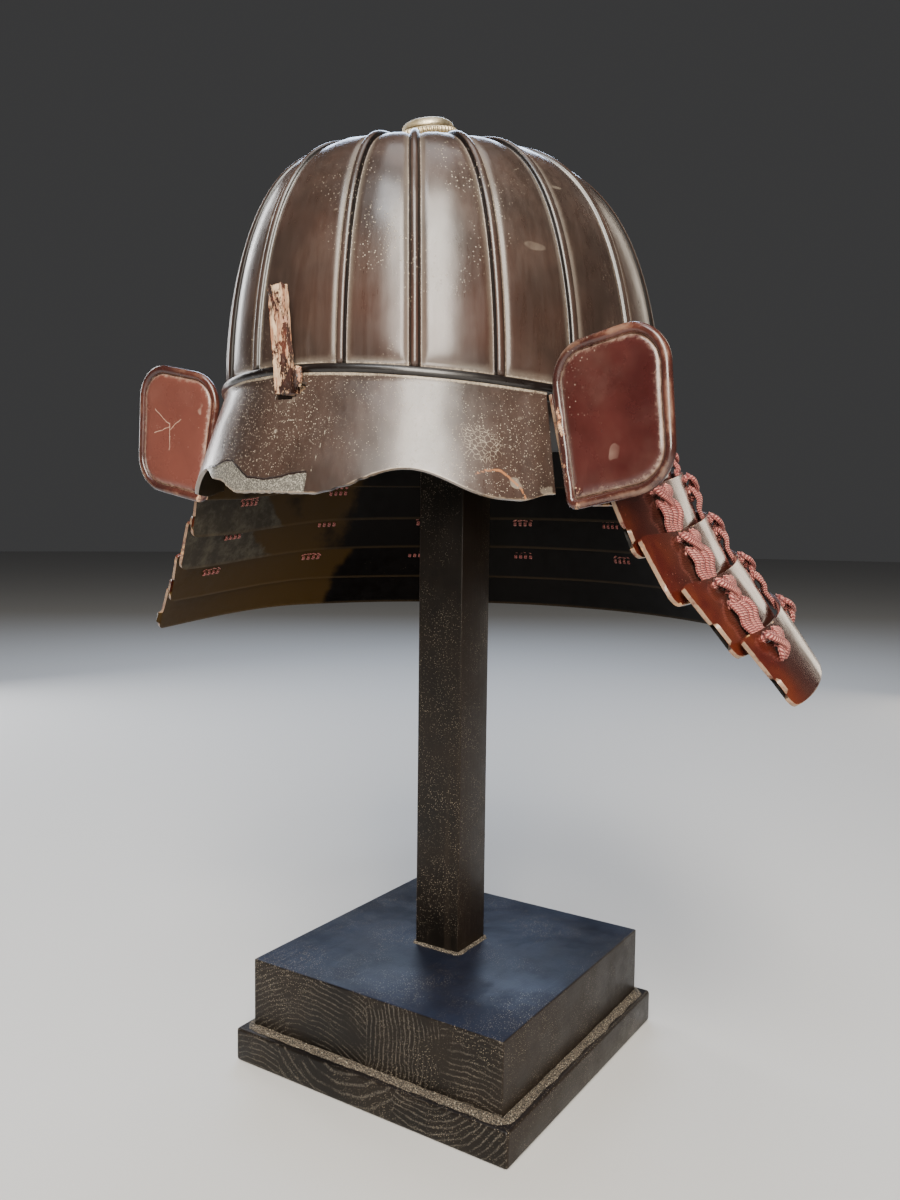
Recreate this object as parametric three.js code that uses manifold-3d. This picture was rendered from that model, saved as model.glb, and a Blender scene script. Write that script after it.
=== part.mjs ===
// Kabuto (samurai helmet) with a five-lame laced neck guard, resting on a plain oak stand.
// Millimetres. +Z up, the helmet faces -Y, +X is the wearer's left.
// Origin: centre of the stand's underside.
import * as THREE from 'three';
import { mergeVertices } from 'three/addons/utils/BufferGeometryUtils.js';
import Module from 'manifold-3d';

const wasm = await Module();
wasm.setup();

const RAD = Math.PI / 180;

// ---- stand
const PLINTH_SIDE = 163.2;
const PLINTH_TALL = 17.5;
const BLOCK_SIDE = 150;
const BLOCK_TALL = 36;
const POST_SIDE = 27.1;
const POST_AT = [-4.0, 3.2];
const POST_TOP = 451;
const FIT_GAP = 0.3;
const WOOD_CHAMFER = 1.0;

// ---- how the helmet sits on its post
const SEAT = [-1.6, -7.2, 348.7];
const NOD = 2.1 * RAD;
const LEAN = 0.9 * RAD;
const TURN = -1.0 * RAD;

// ---- bowl, measured from the centre of its border at the brow
const BOWL_HALF_WIDE = 105.3;
const BOWL_FRONT_LONG = 117.4;
const BOWL_BACK_LONG = 109;
const BOWL_TALL = 108.8;
const BOWL_RISE_POWER = 1.81;
const BOWL_SHOULDER_POWER = 3.99;
const CROWN_FORWARD = 10.1;
const CROWN_PULL = 7.5;
const BOWL_WALL = 2.6;
const PANEL_BELLY = 0.6;
const BORDER_FALL = 18.1;
const BORDER_FLATTEN = 0.3;
const BORDER_PROUD = 3.0;
const BAND_DEPTH = 4.5;
const RIB_HALF_WIDE = 2.0;
const RIB_PROUD = 1.8;
const CROWN_HOLE = 8.6;
// Ribs of one side, in degrees from the middle of the brow.
const RIBS = [13, 29.6, 47.8, 66.2, 85.7, 106.4, 127.2, 148.1, 169.2];

// ---- crown ornament
const SKIRT_R = 16.4;
const SKIRT_TALL = 10.5;
const REED_R = 14.9;
const REED_TALL = 3.6;
const CAP_R = 12.9;
const CAP_TALL = 5.6;
const STEM_R = 8.2;
const FLUTES = 18;
const ORNAMENT_NOD = 6 * RAD;
const ORNAMENT_LEAN = 2 * RAD;
const ORNAMENT_LIFT = 2.4;

// ---- peak
const PEAK_END = 57;
const PEAK_THICK = 2.0;
const PEAK_DEPTH = 50.5;
const PEAK_SIDE_RISE = 3;
const PEAK_ARCH = 11.6;
const PEAK_ARCH_AT = 28.5;
const PEAK_ARCH_HALF = 17.5;
const PEAK_FLARE = 0.35;
// The lower edge is broken away on the wearer's right of the brow.
const PEAK_CHIP = 3.5;
const PEAK_CHIP_AT = -15;
const PEAK_CHIP_HALF = 7;
const HOLE_HALF = 2.7;
const HOLE_FROM = 5.2;
const HOLE_TO = 11.2;

// ---- crest holder
const TAB_WIDE = 9;

// ---- neck guard
const LAME_THICK = 1.8;
const LACES = [-90, -64.3, -38.6, -12.9, 12.9, 38.6, 64.3, 90];
const SLOT_HALF = 8.2;
const SLOT_FROM = 2.8;
const SLOT_TO = 6.0;
// Each lame's top and bottom edge: half width, middle to back, middle to front, middle's y,
// height, and the angle from the back at which the edge stops.
const LAMES = [
  { top: [105.6, 109.3, 150, 0, -2.1, 116.7], low: [117.5, 141.6, 112, -20.7, -51.5, 115.9] },
  { top: [120.7, 145.6, 230, -20.4, -43.5, 100.6], low: [131.9, 150.1, 254.5, -20.4, -72.5, 99.1] },
  { top: [133.6, 153.2, 199.6, -20.2, -63.5, 101.4], low: [148.1, 158.7, 199.6, -20.2, -91.5, 100.3] },
  { top: [149.4, 161.4, 196.9, -19.9, -83.0, 99.9], low: [169.4, 167.2, 196.9, -19.9, -112.2, 97.4] },
  { top: [170.4, 170.2, 155, -19.7, -103.7, 98.6], low: [189.9, 175.8, 155, -19.7, -130.9, 96.3] },
];
const FRONT_DIP = 7;
const CORNER_R = 7;

// ---- turned-back ends of the top lame
const WING_THICK = 2.2;
const WING_RIM = 4.2;
const WING_RIM_PROUD = 1.2;
const WING_HOLLOW = 0.6;
const WING_PANEL = 1.0;
const WING_AT = [123.1, -71.5, -20];
const WING_YAW = -9 * RAD;
// Corners of the outline: outward, upward and corner radius, in the turn-back's own plane.
const WING_CORNERS = [[-29, 27, 17], [25.5, 38, 17], [31, -28, 19], [-17, -38, 5]];

// ---- lacing
const LACE_WIDE = 14;
const LACE_THICK = 1.5;
const KNOT_WIDE = 15;
const KNOT_THICK = 4.2;

const OAK = { color: 0x1d1a1a, roughness: 0.55, metalness: 0 };
const LACQUER = { color: 0x34211d, roughness: 0.25, metalness: 0 };
const GUARD = { color: 0x3a1712, roughness: 0.28, metalness: 0 };
const RED = { color: 0x5a1518, roughness: 0.32, metalness: 0 };
const GILT = { color: 0x8a7350, roughness: 0.5, metalness: 0.9 };
const CORD = { color: 0xa8615f, roughness: 0.85, metalness: 0 };
const BARE = { color: 0x8a5a44, roughness: 0.7, metalness: 0 };

const root = new THREE.Group();
root.name = 'kabuto_on_stand';
const helmet = new THREE.Group();
helmet.position.set(...SEAT);
helmet.rotation.set(NOD, LEAN, TURN, 'ZXY');
root.add(helmet);

function addPiece(parent, name, geometry, look) {
  const mesh = new THREE.Mesh(geometry, new THREE.MeshStandardMaterial(look));
  mesh.name = name;
  parent.add(mesh);
  return mesh;
}

function solid(points, triangles) {
  const geometry = new THREE.BufferGeometry();
  geometry.setAttribute('position', new THREE.Float32BufferAttribute(points.flat(), 3));
  geometry.setIndex(triangles);
  geometry.computeVertexNormals();
  return geometry;
}

// Closed skin over rings of equal count, capped by a fan at each end.
function stackRings(rings) {
  const count = rings[0].length;
  const points = rings.flat();
  const triangles = [];
  for (let r = 0; r + 1 < rings.length; r += 1) {
    for (let i = 0; i < count; i += 1) {
      const j = (i + 1) % count;
      const a = r * count + i;
      const b = r * count + j;
      triangles.push(a, b, b + count, a, b + count, a + count);
    }
  }
  for (const end of [0, rings.length - 1]) {
    const middle = [0, 1, 2].map((k) => rings[end].reduce((s, p) => s + p[k], 0) / count);
    points.push(middle);
    for (let i = 0; i < count; i += 1) {
      const a = end * count + i;
      const b = end * count + ((i + 1) % count);
      triangles.push(...(end === 0 ? [points.length - 1, b, a] : [points.length - 1, a, b]));
    }
  }
  return solid(points, triangles);
}

// Closed skin that wraps round both ways, for a shell open at top and bottom.
function wrapGrid(around, rows, at) {
  const points = [];
  const triangles = [];
  for (let r = 0; r < rows; r += 1) {
    for (let i = 0; i < around; i += 1) {
      points.push(at(i, r));
    }
  }
  for (let r = 0; r < rows; r += 1) {
    for (let i = 0; i < around; i += 1) {
      const j = (i + 1) % around;
      const s = (r + 1) % rows;
      const a = r * around + i;
      const b = r * around + j;
      const c = s * around + j;
      const d = s * around + i;
      triangles.push(a, b, c, a, c, d);
    }
  }
  return solid(points, triangles);
}

// Plate of given grid lines; cells for which present() is false are left out as windows.
function plate(across, down, present, at) {
  const points = [];
  const triangles = [];
  const index = new Map();
  const vertex = (i, j, side) => {
    const key = `${i},${j},${side}`;
    if (!index.has(key)) {
      index.set(key, points.length);
      points.push(at(across[i], down[j], side));
    }
    return index.get(key);
  };
  const has = (i, j) => i >= 0 && j >= 0 && i + 1 < across.length && j + 1 < down.length && present(i, j);
  const quad = (a, b, c, d) => triangles.push(a, b, c, a, c, d);
  const wall = (i, j, k, l) => quad(vertex(i, j, 0), vertex(i, j, 1), vertex(k, l, 1), vertex(k, l, 0));
  for (let i = 0; i + 1 < across.length; i += 1) {
    for (let j = 0; j + 1 < down.length; j += 1) {
      if (!has(i, j)) {
        continue;
      }
      quad(vertex(i, j, 0), vertex(i, j + 1, 0), vertex(i + 1, j + 1, 0), vertex(i + 1, j, 0));
      quad(vertex(i, j, 1), vertex(i + 1, j, 1), vertex(i + 1, j + 1, 1), vertex(i, j + 1, 1));
      if (!has(i, j - 1)) {
        wall(i + 1, j, i, j);
      }
      if (!has(i, j + 1)) {
        wall(i, j + 1, i + 1, j + 1);
      }
      if (!has(i - 1, j)) {
        wall(i, j, i, j + 1);
      }
      if (!has(i + 1, j)) {
        wall(i + 1, j + 1, i + 1, j);
      }
    }
  }
  return solid(points, triangles);
}

function toManifold(geometry) {
  const bare = new THREE.BufferGeometry();
  bare.setAttribute('position', geometry.getAttribute('position').clone());
  bare.setIndex(geometry.getIndex());
  const whole = mergeVertices(bare, 1e-4);
  return new wasm.Manifold(new wasm.Mesh({
    numProp: 3,
    vertProperties: new Float32Array(whole.getAttribute('position').array),
    triVerts: new Uint32Array(whole.getIndex().array),
  }));
}

function fromManifold(body) {
  const mesh = body.getMesh();
  const geometry = new THREE.BufferGeometry();
  geometry.setAttribute('position', new THREE.BufferAttribute(new Float32Array(mesh.vertProperties), 3));
  geometry.setIndex(new THREE.BufferAttribute(new Uint32Array(mesh.triVerts), 1));
  geometry.computeVertexNormals();
  return geometry;
}

const lerp = THREE.MathUtils.lerp;
const smooth = THREE.MathUtils.smoothstep;

// ---------------------------------------------------------------- stand
// Square-sided timber with its long and end edges eased.
function timber(side, from, to, x, y) {
  const square = (half, z) => {
    const c = WOOD_CHAMFER;
    return [[half, half - c], [half - c, half], [c - half, half], [-half, half - c],
      [-half, c - half], [c - half, -half], [half - c, -half], [half, c - half]]
      .map(([px, py]) => [x + px, y + py, z]);
  };
  const h = side / 2;
  const eased = h - WOOD_CHAMFER * 0.5;
  return stackRings([square(eased, from), square(h, from + WOOD_CHAMFER * 0.5),
    square(h, to - WOOD_CHAMFER * 0.5), square(eased, to)]);
}

const blockFoot = PLINTH_TALL + FIT_GAP;
const postFoot = blockFoot + BLOCK_TALL + FIT_GAP;
addPiece(root, 'stand_plinth', timber(PLINTH_SIDE, 0, PLINTH_TALL, 0, 0), OAK);
addPiece(root, 'stand_block', timber(BLOCK_SIDE, blockFoot, blockFoot + BLOCK_TALL, 0, 0), OAK);
addPiece(root, 'stand_post', timber(POST_SIDE, postFoot, POST_TOP, ...POST_AT), OAK);

// ---------------------------------------------------------------- bowl
function borderDrop(angle) {
  const q = 1 - Math.cos(angle);
  return (BORDER_FALL * q) / (1 + BORDER_FLATTEN * q);
}

const bowlLong = (angle) => (Math.cos(angle) > 0 ? BOWL_FRONT_LONG : BOWL_BACK_LONG);

// Point of the bowl's surface: angle from the brow towards +X, climb 0..90 degrees,
// pushed outwards by proud and shrunk by inset.
function bowlPoint(angle, climb, proud, inset) {
  const rise = Math.sin(climb) ** (2 / BOWL_RISE_POWER);
  const reach = Math.cos(climb) ** (2 / BOWL_SHOULDER_POWER);
  const wide = (BOWL_HALF_WIDE - inset) * reach + proud * Math.cos(climb);
  const long = (bowlLong(angle) - inset) * reach + proud * Math.cos(climb);
  const y = -long * Math.cos(angle) - CROWN_FORWARD * rise ** 2 - CROWN_PULL * rise ** 8;
  const fall = borderDrop(angle) * (1 - rise) ** 2;
  const z = (BOWL_TALL - inset) * rise + proud * Math.sin(climb) - fall;
  return [wide * Math.sin(angle), y, z];
}

// Border profile below the ribs: outward and upward offsets.
function borderPoint(angle, out, up) {
  const drop = borderDrop(angle);
  return [(BOWL_HALF_WIDE + out) * Math.sin(angle), -(bowlLong(angle) + out) * Math.cos(angle), up - drop];
}

const ribAngles = [...RIBS.map((d) => d * RAD), ...RIBS.map((d) => (360 - d) * RAD).reverse()];
const bowlColumns = [];
ribAngles.forEach((angle, k) => {
  const next = k + 1 < ribAngles.length ? ribAngles[k + 1] : ribAngles[0] + 2 * Math.PI;
  const half = RIB_HALF_WIDE / 112;
  bowlColumns.push([angle - half, 0], [angle, 1], [angle + half, 0], [(angle + next) / 2, 2]);
});
const CLIMBS = [1.2, 11, 22, 33, 44, 54, 63.5, 72, 79, 84, 87.3, 88.1].map((d) => d * RAD);
const climbForRadius = (r) => Math.acos((r / BOWL_HALF_WIDE) ** (BOWL_SHOULDER_POWER / 2));
const outerRows = [
  (a) => borderPoint(a, -BOWL_WALL, -BAND_DEPTH),
  (a) => borderPoint(a, -0.25, -BAND_DEPTH),
  (a) => borderPoint(a, -0.25, -1.2),
  (a) => borderPoint(a, BORDER_PROUD - 0.6, -1.2),
  (a) => borderPoint(a, BORDER_PROUD, 0.3),
  (a) => borderPoint(a, BORDER_PROUD - 0.9, 1.7),
];
const ribFade = (climb) => (1 + 0.4 * smooth(climb, 40 * RAD, 80 * RAD)) * (climb < 88 * RAD ? 1 : 0);
const skinRows = CLIMBS.map((climb) => (angle, kind) => {
  const proud = [0, RIB_PROUD * ribFade(climb), PANEL_BELLY * Math.sin(climb * 2)][kind];
  return bowlPoint(angle, climb, proud, 0);
});
const crownHoleClimb = climbForRadius(CROWN_HOLE);
const innerClimbs = [88, 82, 72, 58, 40, 20].map((d) => d * RAD);
const bowlRows = [
  ...outerRows,
  ...skinRows,
  (a) => bowlPoint(a, crownHoleClimb, 0, 0),
  (a) => bowlPoint(a, crownHoleClimb, 0, BOWL_WALL),
  ...innerClimbs.map((climb) => (a) => bowlPoint(a, climb, 0, BOWL_WALL)),
];
// Towards the crown the ribs close in, so their feet are set at a constant width, not angle.
function bowlVertex(i, r) {
  const [angle, kind] = bowlColumns[i];
  const row = r - outerRows.length;
  if (row < 0 || row >= CLIMBS.length || kind === 2) {
    return bowlRows[r](angle, kind);
  }
  const reach = Math.cos(CLIMBS[row]) ** (2 / BOWL_SHOULDER_POWER);
  const side = kind === 1 ? 0 : Math.sign((i % 4) - 1);
  const middle = angle - (side * RIB_HALF_WIDE) / 112;
  const spread = Math.min(RIB_HALF_WIDE / (112 * Math.max(reach, 0.01)), 6 * RAD);
  return bowlRows[r](middle + side * spread, kind);
}
addPiece(helmet, 'bowl', wrapGrid(bowlColumns.length, bowlRows.length, bowlVertex), LACQUER);

// ---------------------------------------------------------------- crown ornament
const crown = new THREE.Group();
crown.position.set(0, -CROWN_FORWARD - CROWN_PULL, BOWL_TALL);
crown.rotation.set(ORNAMENT_NOD, ORNAMENT_LEAN, 0);
helmet.add(crown);

// Turned piece whose radius may vary round it: rows of [radius, height, flute depth].
function turned(count, rows) {
  const ring = ([r, z, flute]) => Array.from({ length: count }, (_, i) => {
    const a = (i / count) * 2 * Math.PI;
    const reach = r - (i % 2 ? flute : 0);
    return [reach * Math.cos(a), reach * Math.sin(a), z];
  });
  return stackRings(rows.map(ring));
}
addPiece(crown, 'crown_skirt', turned(FLUTES * 2, [
  [STEM_R - 0.6, -BOWL_WALL, 0], [STEM_R - 0.6, ORNAMENT_LIFT, 0], [SKIRT_R, ORNAMENT_LIFT, 1.2],
  [SKIRT_R, ORNAMENT_LIFT + 2.6, 1.4], [SKIRT_R - 1.2, 8, 1.2], [REED_R - 2.4, SKIRT_TALL, 0.4],
]), GILT);
const reedFoot = SKIRT_TALL + FIT_GAP;
addPiece(crown, 'crown_reeded_ring', turned(40, [
  [REED_R - 1.4, reedFoot, 0], [REED_R, reedFoot + 0.7, 0.7],
  [REED_R, reedFoot + REED_TALL - 0.7, 0.7], [REED_R - 1.4, reedFoot + REED_TALL, 0],
]), GILT);
const capFoot = reedFoot + REED_TALL + FIT_GAP;
const capRows = [[CAP_R - 0.6, capFoot, 0], [CAP_R, capFoot + 0.8, 0]];
for (const d of [25, 50, 72]) {
  capRows.push([CAP_R * Math.cos(d * RAD), capFoot + 0.8 + (CAP_TALL - 0.8) * Math.sin(d * RAD), 0]);
}
capRows.push([1.2, capFoot + CAP_TALL, 0]);
addPiece(crown, 'crown_cap', turned(28, capRows), GILT);

// ---------------------------------------------------------------- peak
// Depth of the peak's lower edge: full at the brow and the ends, arched over each eye.
function peakDepth(degrees) {
  const bump = (at, half) => (Math.abs(at) < half ? 0.5 * (1 + Math.cos((Math.PI * at) / half)) : 0);
  const side = Math.abs(degrees);
  const arch = PEAK_ARCH * bump(side - PEAK_ARCH_AT, PEAK_ARCH_HALF);
  const chip = PEAK_CHIP * bump(degrees - PEAK_CHIP_AT, PEAK_CHIP_HALF);
  const rise = PEAK_SIDE_RISE * smooth(side, 25, 45) + 4 * smooth(side, 50, PEAK_END);
  return PEAK_DEPTH - arch - chip - rise;
}

const PEAK_TOP = 1.5;
const peakAcross = [];
for (let d = -PEAK_END; d < -HOLE_HALF; d += (PEAK_END - HOLE_HALF) / 15) {
  peakAcross.push(d);
}
peakAcross.push(-HOLE_HALF);
peakAcross.push(...peakAcross.map((d) => -d).reverse());
const peakDown = [PEAK_TOP, HOLE_FROM, HOLE_TO, 21, 35, 50];
const peakHole = peakAcross.findIndex((d, i) => d < 0 && peakAcross[i + 1] > 0);
function peakPoint(degrees, depth, side) {
  const share = (depth - HOLE_TO) / (PEAK_DEPTH - HOLE_TO);
  const down = depth <= HOLE_TO ? depth : lerp(HOLE_TO, peakDepth(degrees), share);
  const flare = PEAK_FLARE * (1 - 0.4 * smooth(Math.abs(degrees), 44, PEAK_END));
  const out = 0.1 + flare * Math.max(down - 4, 0) + (side ? 0 : PEAK_THICK);
  return borderPoint(degrees * RAD, out, -down);
}
addPiece(helmet, 'peak', plate(peakAcross, peakDown, (i, j) => !(i === peakHole && j === 1), peakPoint), LACQUER);

// ---------------------------------------------------------------- crest holder
const browY = -BOWL_FRONT_LONG;
const tabSide = new THREE.Shape([
  [browY + 3.6, -10], [browY - 6.3, -10], [browY - 10.4, 33], [browY - 7.2, 33.6],
  [browY - 3.7, -6.6], [browY + 3.6, -6.6],
].map(([y, z]) => new THREE.Vector2(y, z)));
const tab = new THREE.ExtrudeGeometry(tabSide, { depth: TAB_WIDE, bevelEnabled: false });
tab.applyMatrix4(new THREE.Matrix4().makeBasis(
  new THREE.Vector3(0, 1, 0), new THREE.Vector3(0, 0, 1), new THREE.Vector3(1, 0, 0)));
tab.translate(-TAB_WIDE / 2, 0, 0);
addPiece(helmet, 'crest_holder', tab, BARE);

// ---------------------------------------------------------------- neck guard
// Point of a lame: angle from the back towards +X in degrees, share 0 at the top edge to 1 at
// the bottom, and distance out from the inner face.
function lamePoint(lame, degrees, share, out) {
  const mix = (k) => lerp(lame.top[k], lame.low[k], share);
  const angle = degrees * RAD;
  const c = Math.cos(angle);
  const x = mix(0) * Math.sin(angle);
  const y = mix(3) + (c > 0 ? mix(1) : mix(2)) * c;
  const dip = FRONT_DIP * smooth(Math.abs(degrees), 60, 100);
  const level = lame === LAMES[0] ? lerp(lame.top[4] - borderDrop(Math.PI - angle), lame.low[4], share) : mix(4);
  const lift = 2.5 - dip;
  const z = level + (lame === LAMES[0] ? lift * share : lift);
  const wall = new THREE.Vector3(mix(0) * c, -(c > 0 ? mix(1) : mix(2)) * Math.sin(angle), 0).normalize();
  const outward = new THREE.Vector3(-wall.y, wall.x, 0);
  const slope = Math.atan2(lame.low[0] - lame.top[0], lame.top[4] - lame.low[4]);
  return [x + outward.x * out * Math.cos(slope), y + outward.y * out * Math.cos(slope),
    z + out * Math.sin(slope)];
}

function lameLength(lame) {
  return Math.hypot(lame.low[0] - lame.top[0], lame.top[4] - lame.low[4]);
}

// Degrees that span a distance along a lame from an angle, towards +X if step is positive.
function spanDegrees(lame, degrees, step, distance) {
  const [from, to] = [degrees, degrees + step].map((d) => (
    new THREE.Vector3(...lamePoint(lame, d, 0.5, 0))));
  return (distance / from.distanceTo(to)) * step;
}

// Angles of a lame's grid lines: two at each slot, one between slots and three at each end.
function lameAcross(lame) {
  const lines = [];
  LACES.forEach((lace, k) => {
    lines.push(lace + spanDegrees(lame, lace, -1, SLOT_HALF));
    lines.push(lace + spanDegrees(lame, lace, 1, SLOT_HALF));
    if (k + 1 < LACES.length) {
      lines.push((lace + LACES[k + 1]) / 2);
    }
  });
  const end = lame.top[5];
  const corner = spanDegrees(lame, end, 1, CORNER_R);
  for (const pull of [corner, corner * 0.3, 0]) {
    lines.push(end - pull, pull - end);
  }
  if (end > 110) {
    lines.push(104, -104);
  }
  return lines.sort((a, b) => a - b);
}

function lameSolid(lame, first) {
  const across = lameAcross(lame);
  const long = lameLength(lame);
  const down = first ? [0, 0.5, 1] : [0, SLOT_FROM / long, SLOT_TO / long, 1];
  const present = (i, j) => first || j !== 1
    || !LACES.some((lace) => across[i] < lace && lace < across[i + 1]);
  const end = lame.top[5];
  const reach = spanDegrees(lame, end, 1, CORNER_R);
  const at = (degrees, share, side) => {
    const inset = end - Math.abs(degrees);
    const near = Math.max(0, 1 - inset / reach);
    const cut = (CORNER_R / long) * (1 - Math.sqrt(Math.max(0, 1 - near * near)));
    const eased = first ? share : lerp(cut, 1 - cut, share);
    const swing = Math.max(0, (Math.abs(degrees) - 90) / (end - 90)) * (lame.low[5] - end) * share;
    return lamePoint(lame, degrees + Math.sign(degrees) * swing, eased, side ? LAME_THICK : 0);
  };
  return plate(across, down, present, at);
}

// Outline of a turned-back end: its rounded corners joined, drawn in by inset.
function wingOutline(inset) {
  const shape = new THREE.Shape();
  const corners = WING_CORNERS.map(([u, v, r]) => ({ at: new THREE.Vector2(u, v), r }));
  const points = [];
  corners.forEach((corner, k) => {
    const before = corners[(k + corners.length - 1) % corners.length].at;
    const after = corners[(k + 1) % corners.length].at;
    const a = before.clone().sub(corner.at).normalize();
    const b = after.clone().sub(corner.at).normalize();
    const half = Math.acos(THREE.MathUtils.clamp(a.dot(b), -1, 1)) / 2;
    const centre = corner.at.clone()
      .add(a.clone().add(b).normalize().multiplyScalar(corner.r / Math.sin(half)));
    const from = Math.atan2(...corner.at.clone().add(a.multiplyScalar(corner.r / Math.tan(half)))
      .sub(centre).toArray().reverse());
    let sweep = Math.PI - 2 * half;
    for (let i = 0; i <= 6; i += 1) {
      const angle = from - (sweep * i) / 6;
      points.push([centre.x + (corner.r - inset) * Math.cos(angle),
        centre.y + (corner.r - inset) * Math.sin(angle)]);
    }
  });
  shape.setFromPoints(points.map(([u, v]) => new THREE.Vector2(u, v)));
  return shape.getPoints();
}

// Places a point of the turn-back's plane; the plane bows gently back at its outer edge.
function wingPoint(side, u, v, out) {
  const bow = out - 0.0022 * (u + 10) ** 2;
  const x = WING_AT[0] + u * Math.cos(WING_YAW) + bow * Math.sin(WING_YAW);
  const y = WING_AT[1] + u * Math.sin(WING_YAW) - bow * Math.cos(WING_YAW);
  return [side * x, y, WING_AT[2] + v];
}

function wingRings(side, rows) {
  const rings = rows.map(([inset, out]) => wingOutline(inset).map((p) => wingPoint(side, p.x, p.y, out)));
  return side > 0 ? rings.map((ring) => ring.slice().reverse()) : rings;
}

const wingRows = [[0.6, 0], [0, 0.7], [0, WING_THICK], [1.2, WING_THICK + WING_RIM_PROUD],
  [WING_RIM - 0.9, WING_THICK + WING_RIM_PROUD], [WING_RIM, WING_THICK - WING_HOLLOW]];
const panelFoot = WING_THICK - WING_HOLLOW + FIT_GAP;
const panelRows = [[WING_RIM + FIT_GAP, panelFoot], [WING_RIM + FIT_GAP, panelFoot + WING_PANEL * 0.6],
  [WING_RIM + 2.5, panelFoot + WING_PANEL]];

let topLame = toManifold(lameSolid(LAMES[0], true));
for (const side of [1, -1]) {
  topLame = topLame.add(toManifold(stackRings(wingRings(side, wingRows))));
}
addPiece(helmet, 'neck_lame_1', fromManifold(topLame), LACQUER);
addPiece(helmet, 'turnback_panel_left', stackRings(wingRings(1, panelRows)), RED);
addPiece(helmet, 'turnback_panel_right', stackRings(wingRings(-1, panelRows)), RED);
LAMES.slice(1).forEach((lame, k) => {
  addPiece(helmet, `neck_lame_${k + 2}`, lameSolid(lame, false), GUARD);
});

// ---------------------------------------------------------------- lacing
// Stations of one column of cord, each with the down and out offsets of its under and upper
// side. On each lame's face it makes a knot below the top edge and then a flat bundle, which
// passes behind the next lame's top edge and out through that lame's slot.
function laceStations() {
  const stations = [];
  const face = LAME_THICK + FIT_GAP;
  const behind = -LACE_THICK - 0.7;
  const mid = (SLOT_FROM + SLOT_TO) / 2;
  const above = mid - LACE_THICK / 2;
  const below = mid + LACE_THICK / 2;
  LAMES.forEach((lame, k) => {
    const long = lameLength(lame);
    const add = (wide, under, upper) => stations.push({ lame, wide, sides: [under, upper] });
    if (k === 0) {
      add(LACE_WIDE * 0.9, [long - 24, face], [long - 24, face + LACE_THICK]);
    } else {
      add(LACE_WIDE, [0, behind], [0, behind + LACE_THICK]);
      add(LACE_WIDE, [below, behind], [above, behind + LACE_THICK]);
      add(LACE_WIDE, [below, face], [above, face]);
      add(KNOT_WIDE, [below + 0.5, face], [above - 1.4, face + KNOT_THICK * 0.9]);
      add(KNOT_WIDE * 0.9, [mid + 4, face], [mid + 3, face + KNOT_THICK]);
      add(KNOT_WIDE * 0.5, [mid + 8.5, face], [mid + 8.2, face + KNOT_THICK * 0.5]);
    }
    if (k + 1 < LAMES.length) {
      add(LACE_WIDE, [long - 18, face], [long - 18.4, face + LACE_THICK]);
      add(LACE_WIDE, [long - 14, face + 0.8], [long - 14, face + LACE_THICK + 1]);
      add(LACE_WIDE, [long - 10.6, face], [long - 10.6, face + LACE_THICK]);
    } else {
      add(KNOT_WIDE * 0.3, [mid + 11, face], [mid + 11, face + LACE_THICK]);
    }
  });
  return stations;
}

function laceSolid(degrees) {
  const rings = laceStations().map(({ lame, wide, sides }) => {
    const a = new THREE.Vector3(...lamePoint(lame, degrees - 2, 0.5, 0));
    const across = new THREE.Vector3(...lamePoint(lame, degrees + 2, 0.5, 0)).sub(a).normalize();
    const [under, upper] = sides.map(([down, out]) => (
      new THREE.Vector3(...lamePoint(lame, degrees, down / lameLength(lame), out))));
    const step = across.multiplyScalar(wide / 2);
    return [under.clone().sub(step), upper.clone().sub(step), upper.clone().add(step),
      under.clone().add(step)].map((p) => p.toArray());
  });
  return stackRings(rings);
}

LACES.forEach((degrees, k) => {
  addPiece(helmet, `lacing_${k + 1}`, laceSolid(degrees), CORD);
});

export default root;
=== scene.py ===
import math
import random

import bmesh
import bpy
from mathutils import Matrix, Vector, noise


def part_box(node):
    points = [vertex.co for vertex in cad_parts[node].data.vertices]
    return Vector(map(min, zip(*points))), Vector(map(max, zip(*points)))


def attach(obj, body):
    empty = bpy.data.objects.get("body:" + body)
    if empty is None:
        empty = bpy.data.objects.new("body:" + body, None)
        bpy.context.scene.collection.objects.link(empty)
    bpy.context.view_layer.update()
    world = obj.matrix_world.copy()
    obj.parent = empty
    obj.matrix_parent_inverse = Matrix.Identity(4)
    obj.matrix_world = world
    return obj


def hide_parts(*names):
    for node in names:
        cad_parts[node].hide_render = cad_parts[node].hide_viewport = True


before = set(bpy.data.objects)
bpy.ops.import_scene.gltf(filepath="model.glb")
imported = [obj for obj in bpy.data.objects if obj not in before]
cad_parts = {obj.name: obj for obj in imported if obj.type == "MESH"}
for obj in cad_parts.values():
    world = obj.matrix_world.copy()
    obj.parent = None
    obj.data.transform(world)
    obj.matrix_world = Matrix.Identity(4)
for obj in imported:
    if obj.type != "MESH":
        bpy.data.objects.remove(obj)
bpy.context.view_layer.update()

MM = 0.001
BODY = "root"
RAD = math.pi / 180
random.seed(7)

# ---------------------------------------------------------------- sizes, in millimetres
# The helmet has its own frame: origin at the middle of its border over the brow, +Z up,
# the brow towards -Y and the wearer's left towards +X.
SEAT = Vector((-1.6, -7.2, 348.7))
NOD = 2.1 * RAD
LEAN = 0.9 * RAD
TURN = -1.0 * RAD
HELMET = (Matrix.Translation(SEAT * MM) @ Matrix.Rotation(TURN, 4, "Z")
          @ Matrix.Rotation(NOD, 4, "X") @ Matrix.Rotation(LEAN, 4, "Y"))
STAND = Matrix.Identity(4)

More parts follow.
